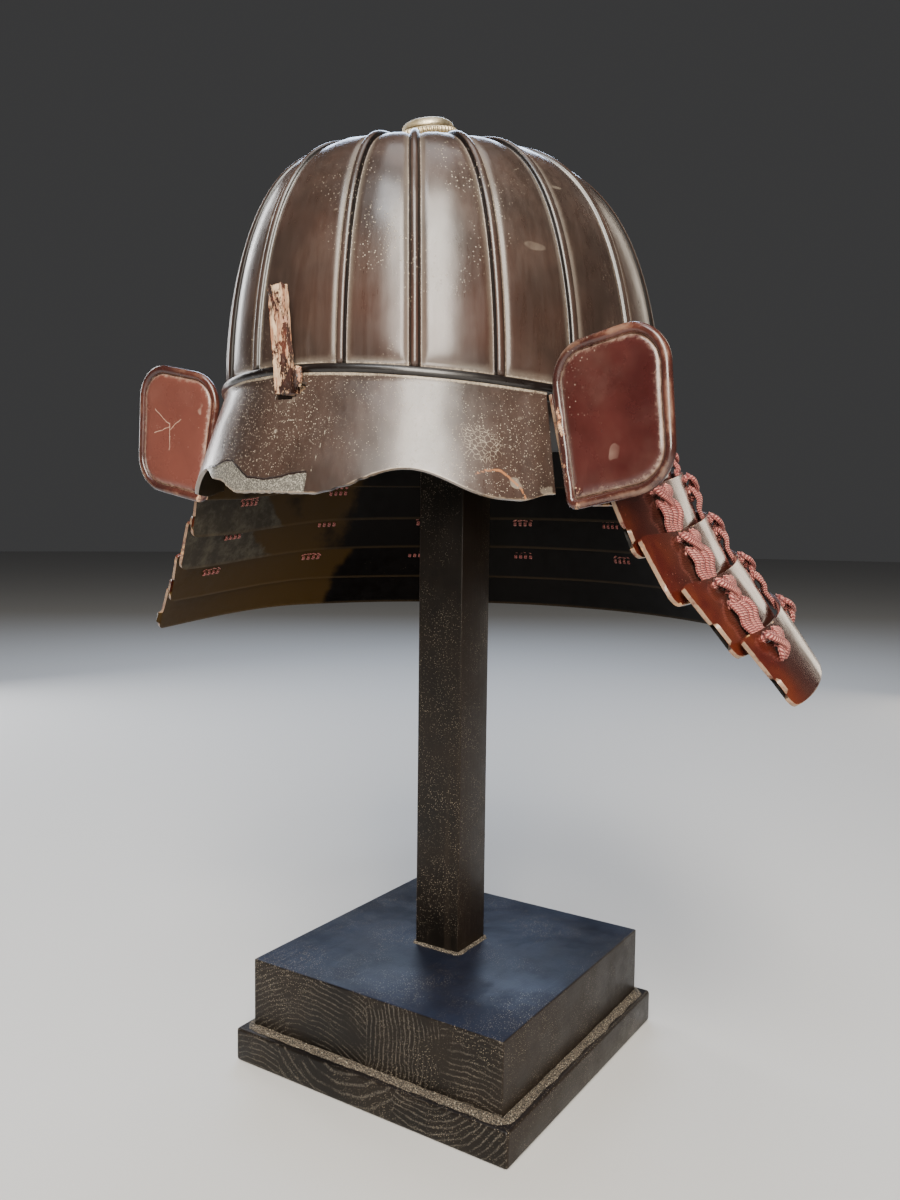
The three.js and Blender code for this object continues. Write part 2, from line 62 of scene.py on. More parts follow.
BOWL_HALF_WIDE = 105.3
BOWL_FRONT_LONG = 117.4
BOWL_BACK_LONG = 109.0
BOWL_TALL = 108.8
BOWL_RISE_POWER = 1.81
BOWL_SHOULDER_POWER = 3.99
CROWN_FORWARD = 10.1
CROWN_PULL = 7.5
BOWL_WALL = 2.6
BEAD_R = 2.2
BORDER_FALL = 18.1
BORDER_FLATTEN = 0.3
RIBS = [13, 29.6, 47.8, 66.2, 85.7, 106.4, 127.2, 148.1, 169.2]
RIB_HALF_WIDE = 2.0
RIB_PROUD = 1.9
CROWN_HOLE = 8.6
PANEL_TOP_R = 22.5
RIB_TIP_R = 16.6
# Towards the crown the panels lie lower, and the ribs stand out more.
CROWN_SUNK = 2.7
PANEL_CORNER = 6.0

PEAK_END = 58.3
PEAK_THICK = 2.0
PEAK_DEPTH = 50.5
PEAK_SIDE_RISE = 3
PEAK_ARCH = 11.6
PEAK_ARCH_AT = 28.5
PEAK_ARCH_HALF = 17.5
PEAK_FLARE = 0.35
PEAK_CHIP = 3.5
PEAK_CHIP_AT = -15
PEAK_CHIP_HALF = 7

LAME_THICK = 1.8
LACES = [-90, -64.3, -38.6, -12.9, 12.9, 38.6, 64.3, 90]
SLOT_HALF = 8.2
SLOT_FROM = 2.8
SLOT_TO = 6.0
# Each lame's top and bottom edge: half width, middle to back, middle to front, middle's y,
# height, and the angle from the back at which the edge stops.
LAMES = [
    dict(top=(105.6, 109.3, 150, 0, -2.1, 116.7), low=(117.5, 141.6, 112, -20.7, -51.5, 115.9)),
    dict(top=(120.7, 145.6, 230, -20.4, -43.5, 100.6), low=(131.9, 150.1, 254.5, -20.4, -72.5, 99.1)),
    dict(top=(133.6, 153.2, 199.6, -20.2, -63.5, 101.4), low=(148.1, 158.7, 199.6, -20.2, -91.5, 100.3)),
    dict(top=(149.4, 161.4, 196.9, -19.9, -83.0, 99.9), low=(169.4, 167.2, 196.9, -19.9, -112.2, 97.4)),
    dict(top=(170.4, 170.2, 155, -19.7, -103.7, 98.6), low=(189.9, 175.8, 155, -19.7, -130.9, 96.3)),
]
FRONT_DIP = 7
CORNER_R = 7

WING_AT = (123.1, -71.5, -20)
WING_YAW = -9 * RAD
# Corners of a turned-back end: outward, upward and corner radius, in its own plane.
WING_CORNERS = [(-29, 27, 17), (25.5, 38, 17), (31, -28, 19), (-17, -38, 5)]


def smooth(value, low, high):
    t = min(max((value - low) / (high - low), 0.0), 1.0)
    return t * t * (3 - 2 * t)


def mix(a, b, share):
    return a + (b - a) * share


def running_lengths(points):
    """Distance along a line from its first point to each of its points."""
    lengths = [0.0]
    for a, b in zip(points, points[1:]):
        lengths.append(lengths[-1] + (b - a).length)
    return lengths


def even_places(lengths, count):
    """Splits a line into equal steps: for each, the stretch it falls in and its share of it."""
    found = []
    k = 0
    for step in range(count + 1):
        wanted = lengths[-1] * step / count
        while k < len(lengths) - 2 and lengths[k + 1] < wanted:
            k += 1
        found.append((k, (wanted - lengths[k]) / max(lengths[k + 1] - lengths[k], 1e-9)))
    return found


# ---------------------------------------------------------------- mesh helpers
def laid(columns, rows, place, marks=(), keep=None, at=HELMET, measure=None):
    """A grid of cells laid on a surface: place(i, j) gives each corner in millimetres, and
    the named point marks. keep(i, j) false leaves that cell open. measure(i, j) gives its
    own coordinates along the surface."""
    bm = bmesh.new()
    along = bm.loops.layers.uv.new("Along")
    layers = [bm.verts.layers.float.new(name) for name in marks]
    bmesh.ops.create_grid(bm, x_segments=columns, y_segments=rows, size=1, calc_uvs=True)
    bm.verts.ensure_lookup_table()
    for index, vert in enumerate(bm.verts):
        j, i = divmod(index, columns + 1)
        point, *values = place(i, j)
        vert.co = at @ (Vector(point) * MM)
        for layer, value in zip(layers, values):
            vert[layer] = value
    if measure:
        for face in bm.faces:
            for loop in face.loops:
                j, i = divmod(loop.vert.index, columns + 1)
                loop[along].uv = measure(i, j)
    if keep:
        left_out = []
        for face in bm.faces:
            corner = min(v.index for v in face.verts)
            j, i = divmod(corner, columns + 1)
            if not keep(i, j):
                left_out.append(face)
        bmesh.ops.delete(bm, geom=left_out, context="FACES")
    return bm


def weld(bm):
    bmesh.ops.remove_doubles(bm, verts=bm.verts, dist=1e-6)


def cap_ends(bm):
    """Closes every open rim."""
    rims = [e for e in bm.edges if e.is_boundary]
    bmesh.ops.holes_fill(bm, edges=rims, sides=0)


def face_out(bm):
    bmesh.ops.recalc_face_normals(bm, faces=bm.faces)
    return bm


def piece(bm, name, finishes, stands_for=(), wall=0.0, soften=0.0, rim_finish=0):
    """Makes the finished piece from its mesh, rides it on the body and names what it is."""
    mesh = bpy.data.meshes.new(name)
    bm.to_mesh(mesh)
    bm.free()
    mesh.polygons.foreach_set("use_smooth", [True] * len(mesh.polygons))
    made = bpy.data.objects.new(name, mesh)
    bpy.context.scene.collection.objects.link(made)
    for finish in finishes:
        mesh.materials.append(finish)
    if wall:
        shell = made.modifiers.new("wall", "SOLIDIFY")
        shell.thickness = wall * MM
        shell.offset = -1
        shell.use_even_offset = False
        shell.material_offset = len(finishes) - 1
        shell.material_offset_rim = rim_finish
    if soften:
        eased = made.modifiers.new("eased edges", "BEVEL")
        eased.width = soften * MM
        eased.segments = 3
        eased.limit_method = "ANGLE"
        eased.angle_limit = 50 * RAD
    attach(made, BODY)
    if stands_for:
        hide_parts(*stands_for)
    return made


# ---------------------------------------------------------------- finish helpers
class Value:
    """A number that changes over a finish; sums with it make the nodes that work them out."""

    def __init__(self, finish, socket):
        self.finish = finish
        self.socket = socket

    def __add__(self, other):
        return self.finish.calc("ADD", self, other)

    def __sub__(self, other):
        return self.finish.calc("SUBTRACT", self, other)

    def __rsub__(self, other):
        return self.finish.calc("SUBTRACT", other, self)

    def __mul__(self, other):
        return self.finish.calc("MULTIPLY", self, other)

    def __truediv__(self, other):
        return self.finish.calc("DIVIDE", self, other)

    def __abs__(self):
        return self.finish.calc("ABSOLUTE", self)


class Finish:
    """Shader nodes of one finish, with a short call for each kind of node that it mixes."""

    def __init__(self, name):
        self.material = bpy.data.materials.new(name)
        self.material.use_nodes = True
        self.nodes = self.material.node_tree.nodes
        self.links = self.material.node_tree.links
        self.skin = self.nodes["Principled BSDF"]
        self.place = self.nodes.new("ShaderNodeTexCoord").outputs["Object"]

    def feed(self, socket, value):
        if isinstance(value, Value):
            value = value.socket
        if isinstance(value, bpy.types.NodeSocket):
            self.links.new(value, socket)
        elif isinstance(value, tuple) and len(value) == 3 and socket.type == "RGBA":
            socket.default_value = (*value, 1)
        else:
            socket.default_value = value

    def noise(self, scale, detail=3.0, rough=0.5, at=None, bend=0.0):
        node = self.nodes.new("ShaderNodeTexNoise")
        self.feed(node.inputs["Vector"], at or self.place)
        self.feed(node.inputs["Scale"], scale)
        self.feed(node.inputs["Detail"], detail)
        self.feed(node.inputs["Roughness"], rough)
        self.feed(node.inputs["Distortion"], bend)
        return Value(self, node.outputs["Fac"])

    def cells(self, scale, kind="F1", at=None):
        node = self.nodes.new("ShaderNodeTexVoronoi")
        node.feature = kind
        self.feed(node.inputs["Vector"], at or self.place)
        self.feed(node.inputs["Scale"], scale)
        return Value(self, node.outputs["Distance"])

    def stretched(self, scale, turn=(0, 0, 0)):
        node = self.nodes.new("ShaderNodeMapping")
        self.feed(node.inputs["Vector"], self.place)
        node.inputs["Scale"].default_value = scale
        node.inputs["Rotation"].default_value = turn
        return node.outputs["Vector"]

    def bent(self, scale, reach):
        """Place moved about by a slow noise, so a pattern on it isn't straight."""
        node = self.nodes.new("ShaderNodeTexNoise")
        self.feed(node.inputs["Vector"], self.place)
        self.feed(node.inputs["Scale"], scale)
        shift = self.nodes.new("ShaderNodeVectorMath")
        shift.operation = "MULTIPLY_ADD"
        self.links.new(node.outputs["Color"], shift.inputs[0])
        shift.inputs[1].default_value = (reach, reach, reach)
        self.links.new(self.place, shift.inputs[2])
        return shift.outputs["Vector"]

    def mark(self, name):
        node = self.nodes.new("ShaderNodeAttribute")
        node.attribute_name = name
        return Value(self, node.outputs["Fac"])

    def along(self):
        node = self.nodes.new("ShaderNodeUVMap")
        node.uv_map = "Along"
        return node.outputs["UV"]

    def parts(self, vector):
        node = self.nodes.new("ShaderNodeSeparateXYZ")
        self.feed(node.inputs[0], vector)
        return [Value(self, socket) for socket in node.outputs]

    def vector(self, operation, a, b):
        """Vector sum; a dot product or a distance comes out as a number."""
        node = self.nodes.new("ShaderNodeVectorMath")
        node.operation = operation
        self.feed(node.inputs[0], a)
        self.feed(node.inputs["Scale"] if operation == "SCALE" else node.inputs[1], b)
        if operation in ("DOT_PRODUCT", "DISTANCE"):
            return Value(self, node.outputs["Value"])
        return node.outputs["Vector"]

    def facing(self):
        """The surface's own direction in the object's frame."""
        node = self.nodes.new("ShaderNodeTexCoord")
        return node.outputs["Normal"]

    def calc(self, operation, a, b=0.0, c=0.0):
        node = self.nodes.new("ShaderNodeMath")
        node.operation = operation
        for socket, value in zip(node.inputs, (a, b, c)):
            self.feed(socket, value)
        return Value(self, node.outputs["Value"])

    def fade(self, value, low, high, start=0.0, end=1.0):
        """Smooth step from start to end as value goes from low to high."""
        node = self.nodes.new("ShaderNodeMapRange")
        node.interpolation_type = "SMOOTHSTEP"
        for name, number in (("Value", value), ("From Min", low), ("From Max", high),
                             ("To Min", start), ("To Max", end)):
            self.feed(node.inputs[name], number)
        return Value(self, node.outputs["Result"])

    def either(self, a, b):
        return self.calc("MAXIMUM", a, b)

    def tint(self, share, below, above):
        node = self.nodes.new("ShaderNodeMix")
        node.data_type = "RGBA"
        self.feed(node.inputs[0], share)
        self.feed(node.inputs[6], below)
        self.feed(node.inputs[7], above)
        return node.outputs[2]

    def relief(self, height, depth, strength=1.0, under=None):
        node = self.nodes.new("ShaderNodeBump")
        self.feed(node.inputs["Height"], height)
        self.feed(node.inputs["Distance"], depth)
        self.feed(node.inputs["Strength"], strength)
        if under:
            self.links.new(under, node.inputs["Normal"])
        return node.outputs["Normal"]

    def set(self, **values):
        names = dict(color="Base Color", rough="Roughness", metal="Metallic", normal="Normal",
                     coat="Coat Weight", coat_rough="Coat Roughness", coat_normal="Coat Normal",
                     sheen="Sheen Weight", sheen_rough="Sheen Roughness", ior="IOR",
                     specular="Specular IOR Level")
        for name, value in values.items():
            self.feed(self.skin.inputs[names[name]], value)
        return self.material


def scratches(f, scale, amount):
    """Fine crossing scratches: three sets of thin streaks, each turned its own way."""
    found = None
    for turn in ((0.3, 0.2, 0.5), (1.4, 0.6, 2.1), (0.9, 2.2, 1.2)):
        streaks = f.noise(scale, 2, 0.5, at=f.stretched((1, 0.035, 1), turn), bend=0.15)
        thin = f.fade(streaks, 0.72 - amount, 0.74 - amount)
        found = thin if found is None else f.either(found, thin)
    patches = f.fade(f.noise(28, 3), 0.46, 0.66)
    return found * patches


def specks(f, scale, size, spread=0.55, more=0.0):
    """Scattered dots of dust, thicker in some patches than others."""
    dots = f.fade(f.cells(scale), size, size * 0.55)
    patches = f.fade(f.noise(17, 4, 0.6) + more, spread, spread + 0.2)
    uneven = f.fade(f.noise(scale * 0.7, 1), 0.42, 0.58)
    return dots * patches * uneven


def stroke(f, spots, half):
    """Thin uneven line through spots on a surface, seen from the front; half is its half width."""
    waver = 0.0030
    flat = Vector((1, 0, 1))
    here = f.vector("MULTIPLY", f.bent(120, waver), flat)
    nearest = None
    for a, b in zip(spots, spots[1:]):
        run = (b - a) * flat
        away = f.vector("SUBTRACT", here, a * flat + flat * (waver / 2))
        reach = f.vector("DOT_PRODUCT", away, run / run.length_squared)
        share = f.calc("MINIMUM", f.calc("MAXIMUM", reach, 0.0), 1.0)
        gap = f.vector("DISTANCE", away, f.vector("SCALE", run, share))
        nearest = gap if nearest is None else f.calc("MINIMUM", nearest, gap)
    return f.fade(nearest, half * 1.5, half * 0.5)


# ---------------------------------------------------------------- finishes
def brown_lacquer(name, with_damage):
    """Dark brown lacquer over hide: glossy, hazed, with dust caught beside the ribs and painted shade at
    their feet and over the border bead.
    """
    f = Finish(name)
    brown = f.tint(f.fade(f.noise(26, 4, 0.6), 0.35, 0.7), (0.021, 0.0125, 0.0095),
                   (0.038, 0.0205, 0.015))
    warm = f.tint(f.fade(f.noise(9, 3), 0.52, 0.72, 0.0, 0.6), brown, (0.05, 0.0175, 0.0105))
    brushed = f.noise(330, 4, 0.7, at=f.stretched((1, 1, 0.05)))
    haze = f.fade(f.noise(13, 4, 0.6), 0.35, 0.7, 0.15, 0.6) * f.fade(brushed, 0.3, 0.7, 0.4, 1.0)
    hazed = f.tint(haze * 0.3, warm, (0.15, 0.118, 0.1))
    grain = f.noise(1100, 3, 0.7)
    fine = grain + f.noise(120, 3, 0.6) * 0.7 - 0.85
    # Above zero the second mark is the lacquer's pale bloom beside the ribs; below zero it is painted shade.
    bloom_and_shade = f.fade(f.mark("bloom_and_shade") + fine * 0.35, 0.08, 1.05)
    bloomed = f.tint(bloom_and_shade * 0.22, hazed, (0.37, 0.315, 0.245))
    dust = f.fade(f.mark("dust") + fine * 0.9, 0.4, 0.95)
    dusty = f.tint(dust * 0.75, bloomed, (0.46, 0.38, 0.28))
    # Painted shade: near black at the rib feet and over the border bead.
    painted_shade = f.fade(f.mark("bloom_and_shade"), -0.1, -0.8)
    dusty = f.tint(painted_shade, dusty, (0.0045, 0.0026, 0.002))
    dots = specks(f, 1150 if with_damage else 800, 0.29, 0.42 if with_damage else 0.54,
                  f.mark("speckle") if with_damage else 0.0)
    dotted = f.tint(dots * 0.7, dusty, (0.6, 0.52, 0.4))
    lines = scratches(f, 80, -0.004)
    color = f.tint(lines * 0.35, dotted, (0.5, 0.43, 0.34))
    uneven = (brushed - 0.5) * 0.22
    rough = (uneven + f.fade(f.noise(20, 5, 0.7), 0.3, 0.75, 0.27, 0.41)
             + f.either(dust, f.either(dots, bloom_and_shade * 0.7)) * 0.45)
    hand = f.relief(f.noise(34, 2), 0.0016, 0.35)
    skin = f.relief(f.either(dust, dots), 0.0002, 0.6, under=hand)
    if with_damage:
        jagged = f.noise(230, 4, 0.7) - 0.5
        bare_edge = f.mark("bare") + jagged * 2.0
        bare = f.fade(bare_edge, 0.0, 0.12)
        ground = f.tint(f.fade(f.noise(1300, 4, 0.8), 0.46, 0.66), (0.062, 0.057, 0.048),
                        (0.34, 0.315, 0.26))
        color = f.tint(bare, color, ground)
        rim = f.fade(bare_edge, -0.9, -0.35) * f.fade(bare_edge, 0.2, 0.05)
        color = f.tint(rim, color, (0.014, 0.005, 0.0035))
        wander = abs((f.noise(330, 4, 0.75) - 0.5) * 2.4)
        pale = f.fade(f.mark("pale_crack") + wander, 0.4, 0.16)
        color = f.tint(pale * 0.55, color, (0.46, 0.42, 0.33))
        net = f.cells(480, "DISTANCE_TO_EDGE", at=f.bent(120, 0.003))
        crazed = f.fade(net, 0.06, 0.02) * f.fade(f.mark("crazed") + f.noise(90, 3), 1.0, 1.2)
        color = f.tint(crazed * 0.42, color, (0.46, 0.39, 0.3))
        warm_crack = f.fade(f.mark("warm_crack") + wander, 0.75, 0.35)
        color = f.tint(warm_crack * 0.8, color, (0.36, 0.15, 0.062))
        edge = f.fade(f.mark("rim") + f.noise(150, 4, 0.7) * 2.4, 1.95, 1.2)
        color = f.tint(edge * 0.6, color, (0.28, 0.21, 0.145))
        rough = rough + bare * 0.5
        broken = f.noise(700, 4, 0.8) * bare - rim * 2.0
        skin = f.relief(broken, 0.0004, 0.8, under=skin)
    return f.set(color=color, rough=rough, normal=skin, coat=0.5 if with_damage else 0.3, coat_rough=0.2,
                 coat_normal=hand, ior=1.5)


def guard_lacquer(name):
    """Translucent red-brown lacquer, painted a warmer red towards the front ends for the warm light they
    catch, and rubbed pale at the rims.
    """
    f = Finish(name)
    deep = f.tint(f.fade(f.noise(20, 4, 0.6), 0.35, 0.7), (0.04, 0.013, 0.01), (0.085, 0.022, 0.013))
    warm = f.tint(f.fade(f.noise(45, 4, 0.6), 0.35, 0.72), (0.06, 0.007, 0.0048), (0.13, 0.0245, 0.008))
    # Painted light: towards the front ends, which face the light, the lacquer is tinted a warmer red.
    front = f.fade(f.mark("front"), 30.0, 6.0)
    body = f.tint(front * 0.85, deep, warm)
    haze = f.fade(f.noise(19, 5, 0.65), 0.45, 0.75, 0.0, 0.1)
    hazed = f.tint(haze, body, (0.19, 0.13, 0.1))
    ragged = f.mark("rim") + f.noise(190, 4, 0.75) * 2.2
    rubbed = f.fade(ragged, 1.55, 1.05)
    worn = f.tint(rubbed * 0.6, hazed, (0.36, 0.25, 0.155))
    chips = f.fade(ragged, 2.3, 1.9) * f.fade(f.noise(110, 3), 0.62, 0.66)
    chipped = f.tint(chips, worn, (0.46, 0.25, 0.115))
    dots = specks(f, 560, 0.14, 0.5)
    dotted = f.tint(dots * 0.7, chipped, (0.6, 0.45, 0.33))
    lines = scratches(f, 60, -0.02)
    color = f.tint(lines * 0.25, dotted, (0.45, 0.36, 0.28))
    rough = f.fade(f.noise(24, 5, 0.7), 0.3, 0.75, 0.16, 0.3) + f.either(rubbed, dots) * 0.4
    hand = f.relief(f.noise(30, 2), 0.0018, 0.4)
    skin = f.relief(f.either(f.either(rubbed, chips), dots), -0.0002, 0.5, under=hand)
    return f.set(color=color, rough=rough, normal=skin, coat=0.4, coat_rough=0.1, coat_normal=hand,
                 ior=1.5)


def inside_lacquer(name):
    """Plain dark lacquer of the inner faces with handling marks: olive brown on the lit side, painted near
    black elsewhere as painted shade, with a painted highlight along each lame's lower edge.
    """
    f = Finish(name)
    edge_noise = (f.noise(26, 5, 0.6) - 0.5) * 0.9
    olive = f.fade(f.mark("olive") + edge_noise, 0.4, 0.6)
    ashy = f.fade(f.mark("ashy") + edge_noise, 0.45, 0.58)
    # Painted shade: away from the lit side the inner lacquer is painted near black.
    base = f.tint(olive, (0.002, 0.0012, 0.0008), (0.036, 0.0195, 0.0042))
    fine = f.noise(120, 5, 0.75)
    ash = f.tint(f.fade(fine, 0.4, 0.7), (0.026, 0.022, 0.016), (0.07, 0.062, 0.046))
    mottled = f.tint(ashy * 0.9, base, ash)
    # Painted highlight along each lame's lower edge.
    lit_edge = f.fade(f.mark("lower_edge"), 2.2, 0.9)
    edged = f.tint(lit_edge * 0.25, mottled, (0.085, 0.055, 0.025))
    dots = specks(f, 480, 0.16, 0.6)
    color = f.tint(dots * 0.4, edged, (0.3, 0.25, 0.18))
    rough = f.fade(fine, 0.3, 0.75, 0.3, 0.5)
    return f.set(color=color, rough=rough, normal=f.relief(f.noise(90, 3), 0.0006, 0.3), specular=0.08)


def bare_wood(f):
    """Where lacquer is chipped off a turned-back end, and the split wood under it."""
    ragged = f.mark("chipped") + (f.noise(120, 5, 0.75) - 0.5) * 1.8
    bare = f.fade(ragged, 0.72, 0.8)
    wood = f.tint(f.fade(f.noise(160, 4, 0.7), 0.4, 0.62), (0.42, 0.185, 0.085), (0.6, 0.4, 0.25))
    split = f.tint(f.fade(f.noise(85, 4, 0.7), 0.54, 0.6), wood, (0.035, 0.03, 0.028))
    return (bare, split)


def maroon_lacquer(name, painted_light_share, scratched=()):
    """Deep red lacquer of the turned-back ends, cloudy, with a dusty line round the field."""
    f = Finish(name)
    red = f.tint(f.fade(f.noise(24, 4, 0.6), 0.35, 0.68), (0.034, 0.0068, 0.006), (0.06, 0.015, 0.0125))
    cloud = f.tint(f.fade(f.noise(16, 5, 0.65), 0.46, 0.72, 0.0, 0.45), red, (0.105, 0.055, 0.044))
    dim = f.tint(f.fade(f.noise(30, 4), 0.5, 0.75, 0.0, 0.6), cloud, (0.04, 0.011, 0.012))
    # Painted light: the field is tinted lighter by the given share, as if more light falls on it.
    painted_light_tint = f.tint(painted_light_share, dim, (0.25, 0.088, 0.062))
    grain = (f.noise(420, 4, 0.75) - 0.5) * 1.3
    dust = f.fade(f.mark("dust") + grain, 0.55, 1.35)
    dusty = f.tint(dust * 0.75, painted_light_tint, (0.47, 0.33, 0.25))
    dots = specks(f, 520, 0.22, 0.5)
    dotted = f.tint(dots * 0.8, dusty, (0.65, 0.52, 0.42))
    lines = scratches(f, 55, -0.01)
    color = f.tint(lines * 0.35, dotted, (0.55, 0.4, 0.32))
    rough = f.fade(f.noise(26, 5, 0.7), 0.3, 0.75, 0.2, 0.36) + f.either(dust, dots) * 0.35
    hand = f.relief(f.noise(30, 3), 0.0016, 0.45)
    for spots in scratched:
        color = f.tint(stroke(f, spots, 0.00019) * 0.5, color, (0.62, 0.44, 0.33))
    bare, split = bare_wood(f)
    color = f.tint(bare, color, split)
    rough = rough + bare * 0.5
    return f.set(color=color, rough=rough, normal=hand, coat=0.3, coat_rough=0.14, coat_normal=hand)


def rim_lacquer(name):
    """Red-brown lacquer of the raised rims, rubbed through to gold-brown on top."""
    f = Finish(name)
    base = f.tint(f.fade(f.noise(30, 4, 0.6), 0.35, 0.7), (0.034, 0.011, 0.009), (0.08, 0.024, 0.016))
    patchy = (f.noise(60, 5, 0.75) - 0.5) * 1.6
    rubbed = f.fade(f.mark("crest") + patchy, 0.9, 1.3)
    worn = f.tint(rubbed * 0.5, base, (0.28, 0.165, 0.105))
    grain = (f.noise(420, 4, 0.75) - 0.5) * 1.2
    dust = f.fade(f.mark("dust") + grain, 0.7, 1.3)
    dusty = f.tint(dust * 0.4, worn, (0.34, 0.25, 0.17))
    bare, split = bare_wood(f)
    chipped = f.tint(bare, dusty, split)
    dots = specks(f, 520, 0.15, 0.5)
    color = f.tint(dots * 0.8, chipped, (0.62, 0.5, 0.38))
    rough = (f.fade(f.noise(26, 5, 0.7), 0.3, 0.75, 0.18, 0.34) + f.either(f.either(rubbed, bare), dust)
             * 0.35)
    hand = f.relief(f.noise(40, 3), 0.0016, 0.4)
    skin = f.relief(f.noise(300, 4, 0.8) * bare - bare, 0.0006, 0.7, under=hand)
    return f.set(color=color, rough=rough, normal=skin, coat=0.35, coat_rough=0.1, coat_normal=hand)


def gilt_copper(name):
    """Aged gilding: dull gold on the high spots, dark tarnish in patches, beige dust in the low ones, and
    painted shade where the turned parts meet.
    """
    f = Finish(name)
    gold = f.tint(f.fade(f.noise(120, 4, 0.7), 0.35, 0.68), (0.5, 0.4, 0.24), (0.66, 0.58, 0.42))
    tarnish = f.tint(f.fade(f.noise(210, 5, 0.75), 0.52, 0.7, 0.0, 0.7), gold, (0.2, 0.165, 0.11))
    dust = f.fade(f.mark("dust") + (f.noise(650, 4, 0.8) - 0.5) * 1.2, 0.3, 0.9)
    dusty = f.tint(dust * 0.85, tarnish, (0.42, 0.35, 0.245))
    # Painted shade: near black and dull where the turned parts meet.
    painted_shade = f.fade(f.mark("painted_shade"), 0.4, 0.9)
    color = f.tint(painted_shade * 0.9, dusty, (0.045, 0.034, 0.022))
    metal = f.fade(f.either(dust, painted_shade), 0.1, 0.8, 0.85, 0.1)
    rough = f.fade(f.noise(90, 5, 0.7), 0.3, 0.7, 0.34, 0.6)
    skin = f.relief(f.noise(520, 4, 0.75), 0.0003, 0.45)
    return f.set(color=color, rough=rough, metal=metal, normal=skin)


def chipped_wood(name):
    """Dark lacquer flaked off pale and orange wood, with long splits."""
    f = Finish(name)
    lengthwise = f.stretched((1, 1, 0.16))
    wood = f.tint(f.fade(f.noise(300, 4, 0.7, at=lengthwise), 0.38, 0.64), (0.3, 0.135, 0.075),
                  (0.6, 0.42, 0.27))
    rosy = f.tint(f.fade(f.noise(60, 4), 0.5, 0.66), wood, (0.4, 0.2, 0.15))
    flake = f.fade(f.noise(150, 6, 0.78, at=f.stretched((1, 1, 0.42))), 0.475, 0.5)
    lacquer = f.tint(f.fade(f.noise(80, 4), 0.4, 0.7), (0.028, 0.014, 0.011), (0.115, 0.035, 0.022))
    flaked = f.tint(flake, lacquer, rosy)
    split = f.fade(f.noise(260, 5, 0.8, at=f.stretched((1, 1, 0.07))), 0.62, 0.67)
    split_dark = f.tint(split * 0.85, flaked, (0.03, 0.017, 0.012))
    dots = specks(f, 700, 0.2, 0.42)
    color = f.tint(dots * 0.6, split_dark, (0.62, 0.52, 0.38))
    rough = f.fade(flake, 0.0, 1.0, 0.3, 0.75)
    skin = f.relief(flake * -1.0 - split, 0.0006, 0.9)
    grainy = f.relief(f.noise(500, 4, 0.8, at=lengthwise), 0.0002, 0.5, under=skin)
    return f.set(color=color, rough=rough, normal=grainy)


def rose_cord(name):
    """Braided silk: herringbone strands in faded rose, with painted shade darkening the gaps between them."""
    f = Finish(name)
    across, length, _ = f.parts(f.along())
    centred = abs(f.calc("FRACT", across * 2.0) - 0.5)
    slant = length + centred * 1.5
    wave = f.calc("SINE", slant * (2 * math.pi))
    strand = f.fade(wave, -0.6, 0.5)
    groove = f.fade(centred, 0.0, 0.09)
    ridge = f.fade(0.5 - centred, 0.0, 0.1)
    height = strand * (groove * ridge)
    faded = f.tint(f.fade(f.noise(75, 4), 0.35, 0.7), (0.5, 0.15, 0.13), (0.62, 0.245, 0.2))
    dusty = f.tint(f.fade(f.noise(30, 5, 0.6), 0.45, 0.75, 0.0, 0.5), faded, (0.6, 0.3, 0.24))
    fibre = f.tint(f.fade(f.noise(2600, 2), 0.3, 0.7, 0.0, 0.3), dusty, (0.68, 0.36, 0.3))
    # Painted shade: the cord is darkened where the braid sinks between strands.
    color = f.tint(height, (0.15, 0.035, 0.035), fibre)
    skin = f.relief(height, 0.00045, 0.9)
    fuzz = f.relief(f.noise(2400, 3, 0.8), 0.00012, 0.4, under=skin)
    return f.set(color=color, rough=0.78, normal=fuzz, sheen=0.1, sheen_rough=0.4, specular=0.2)


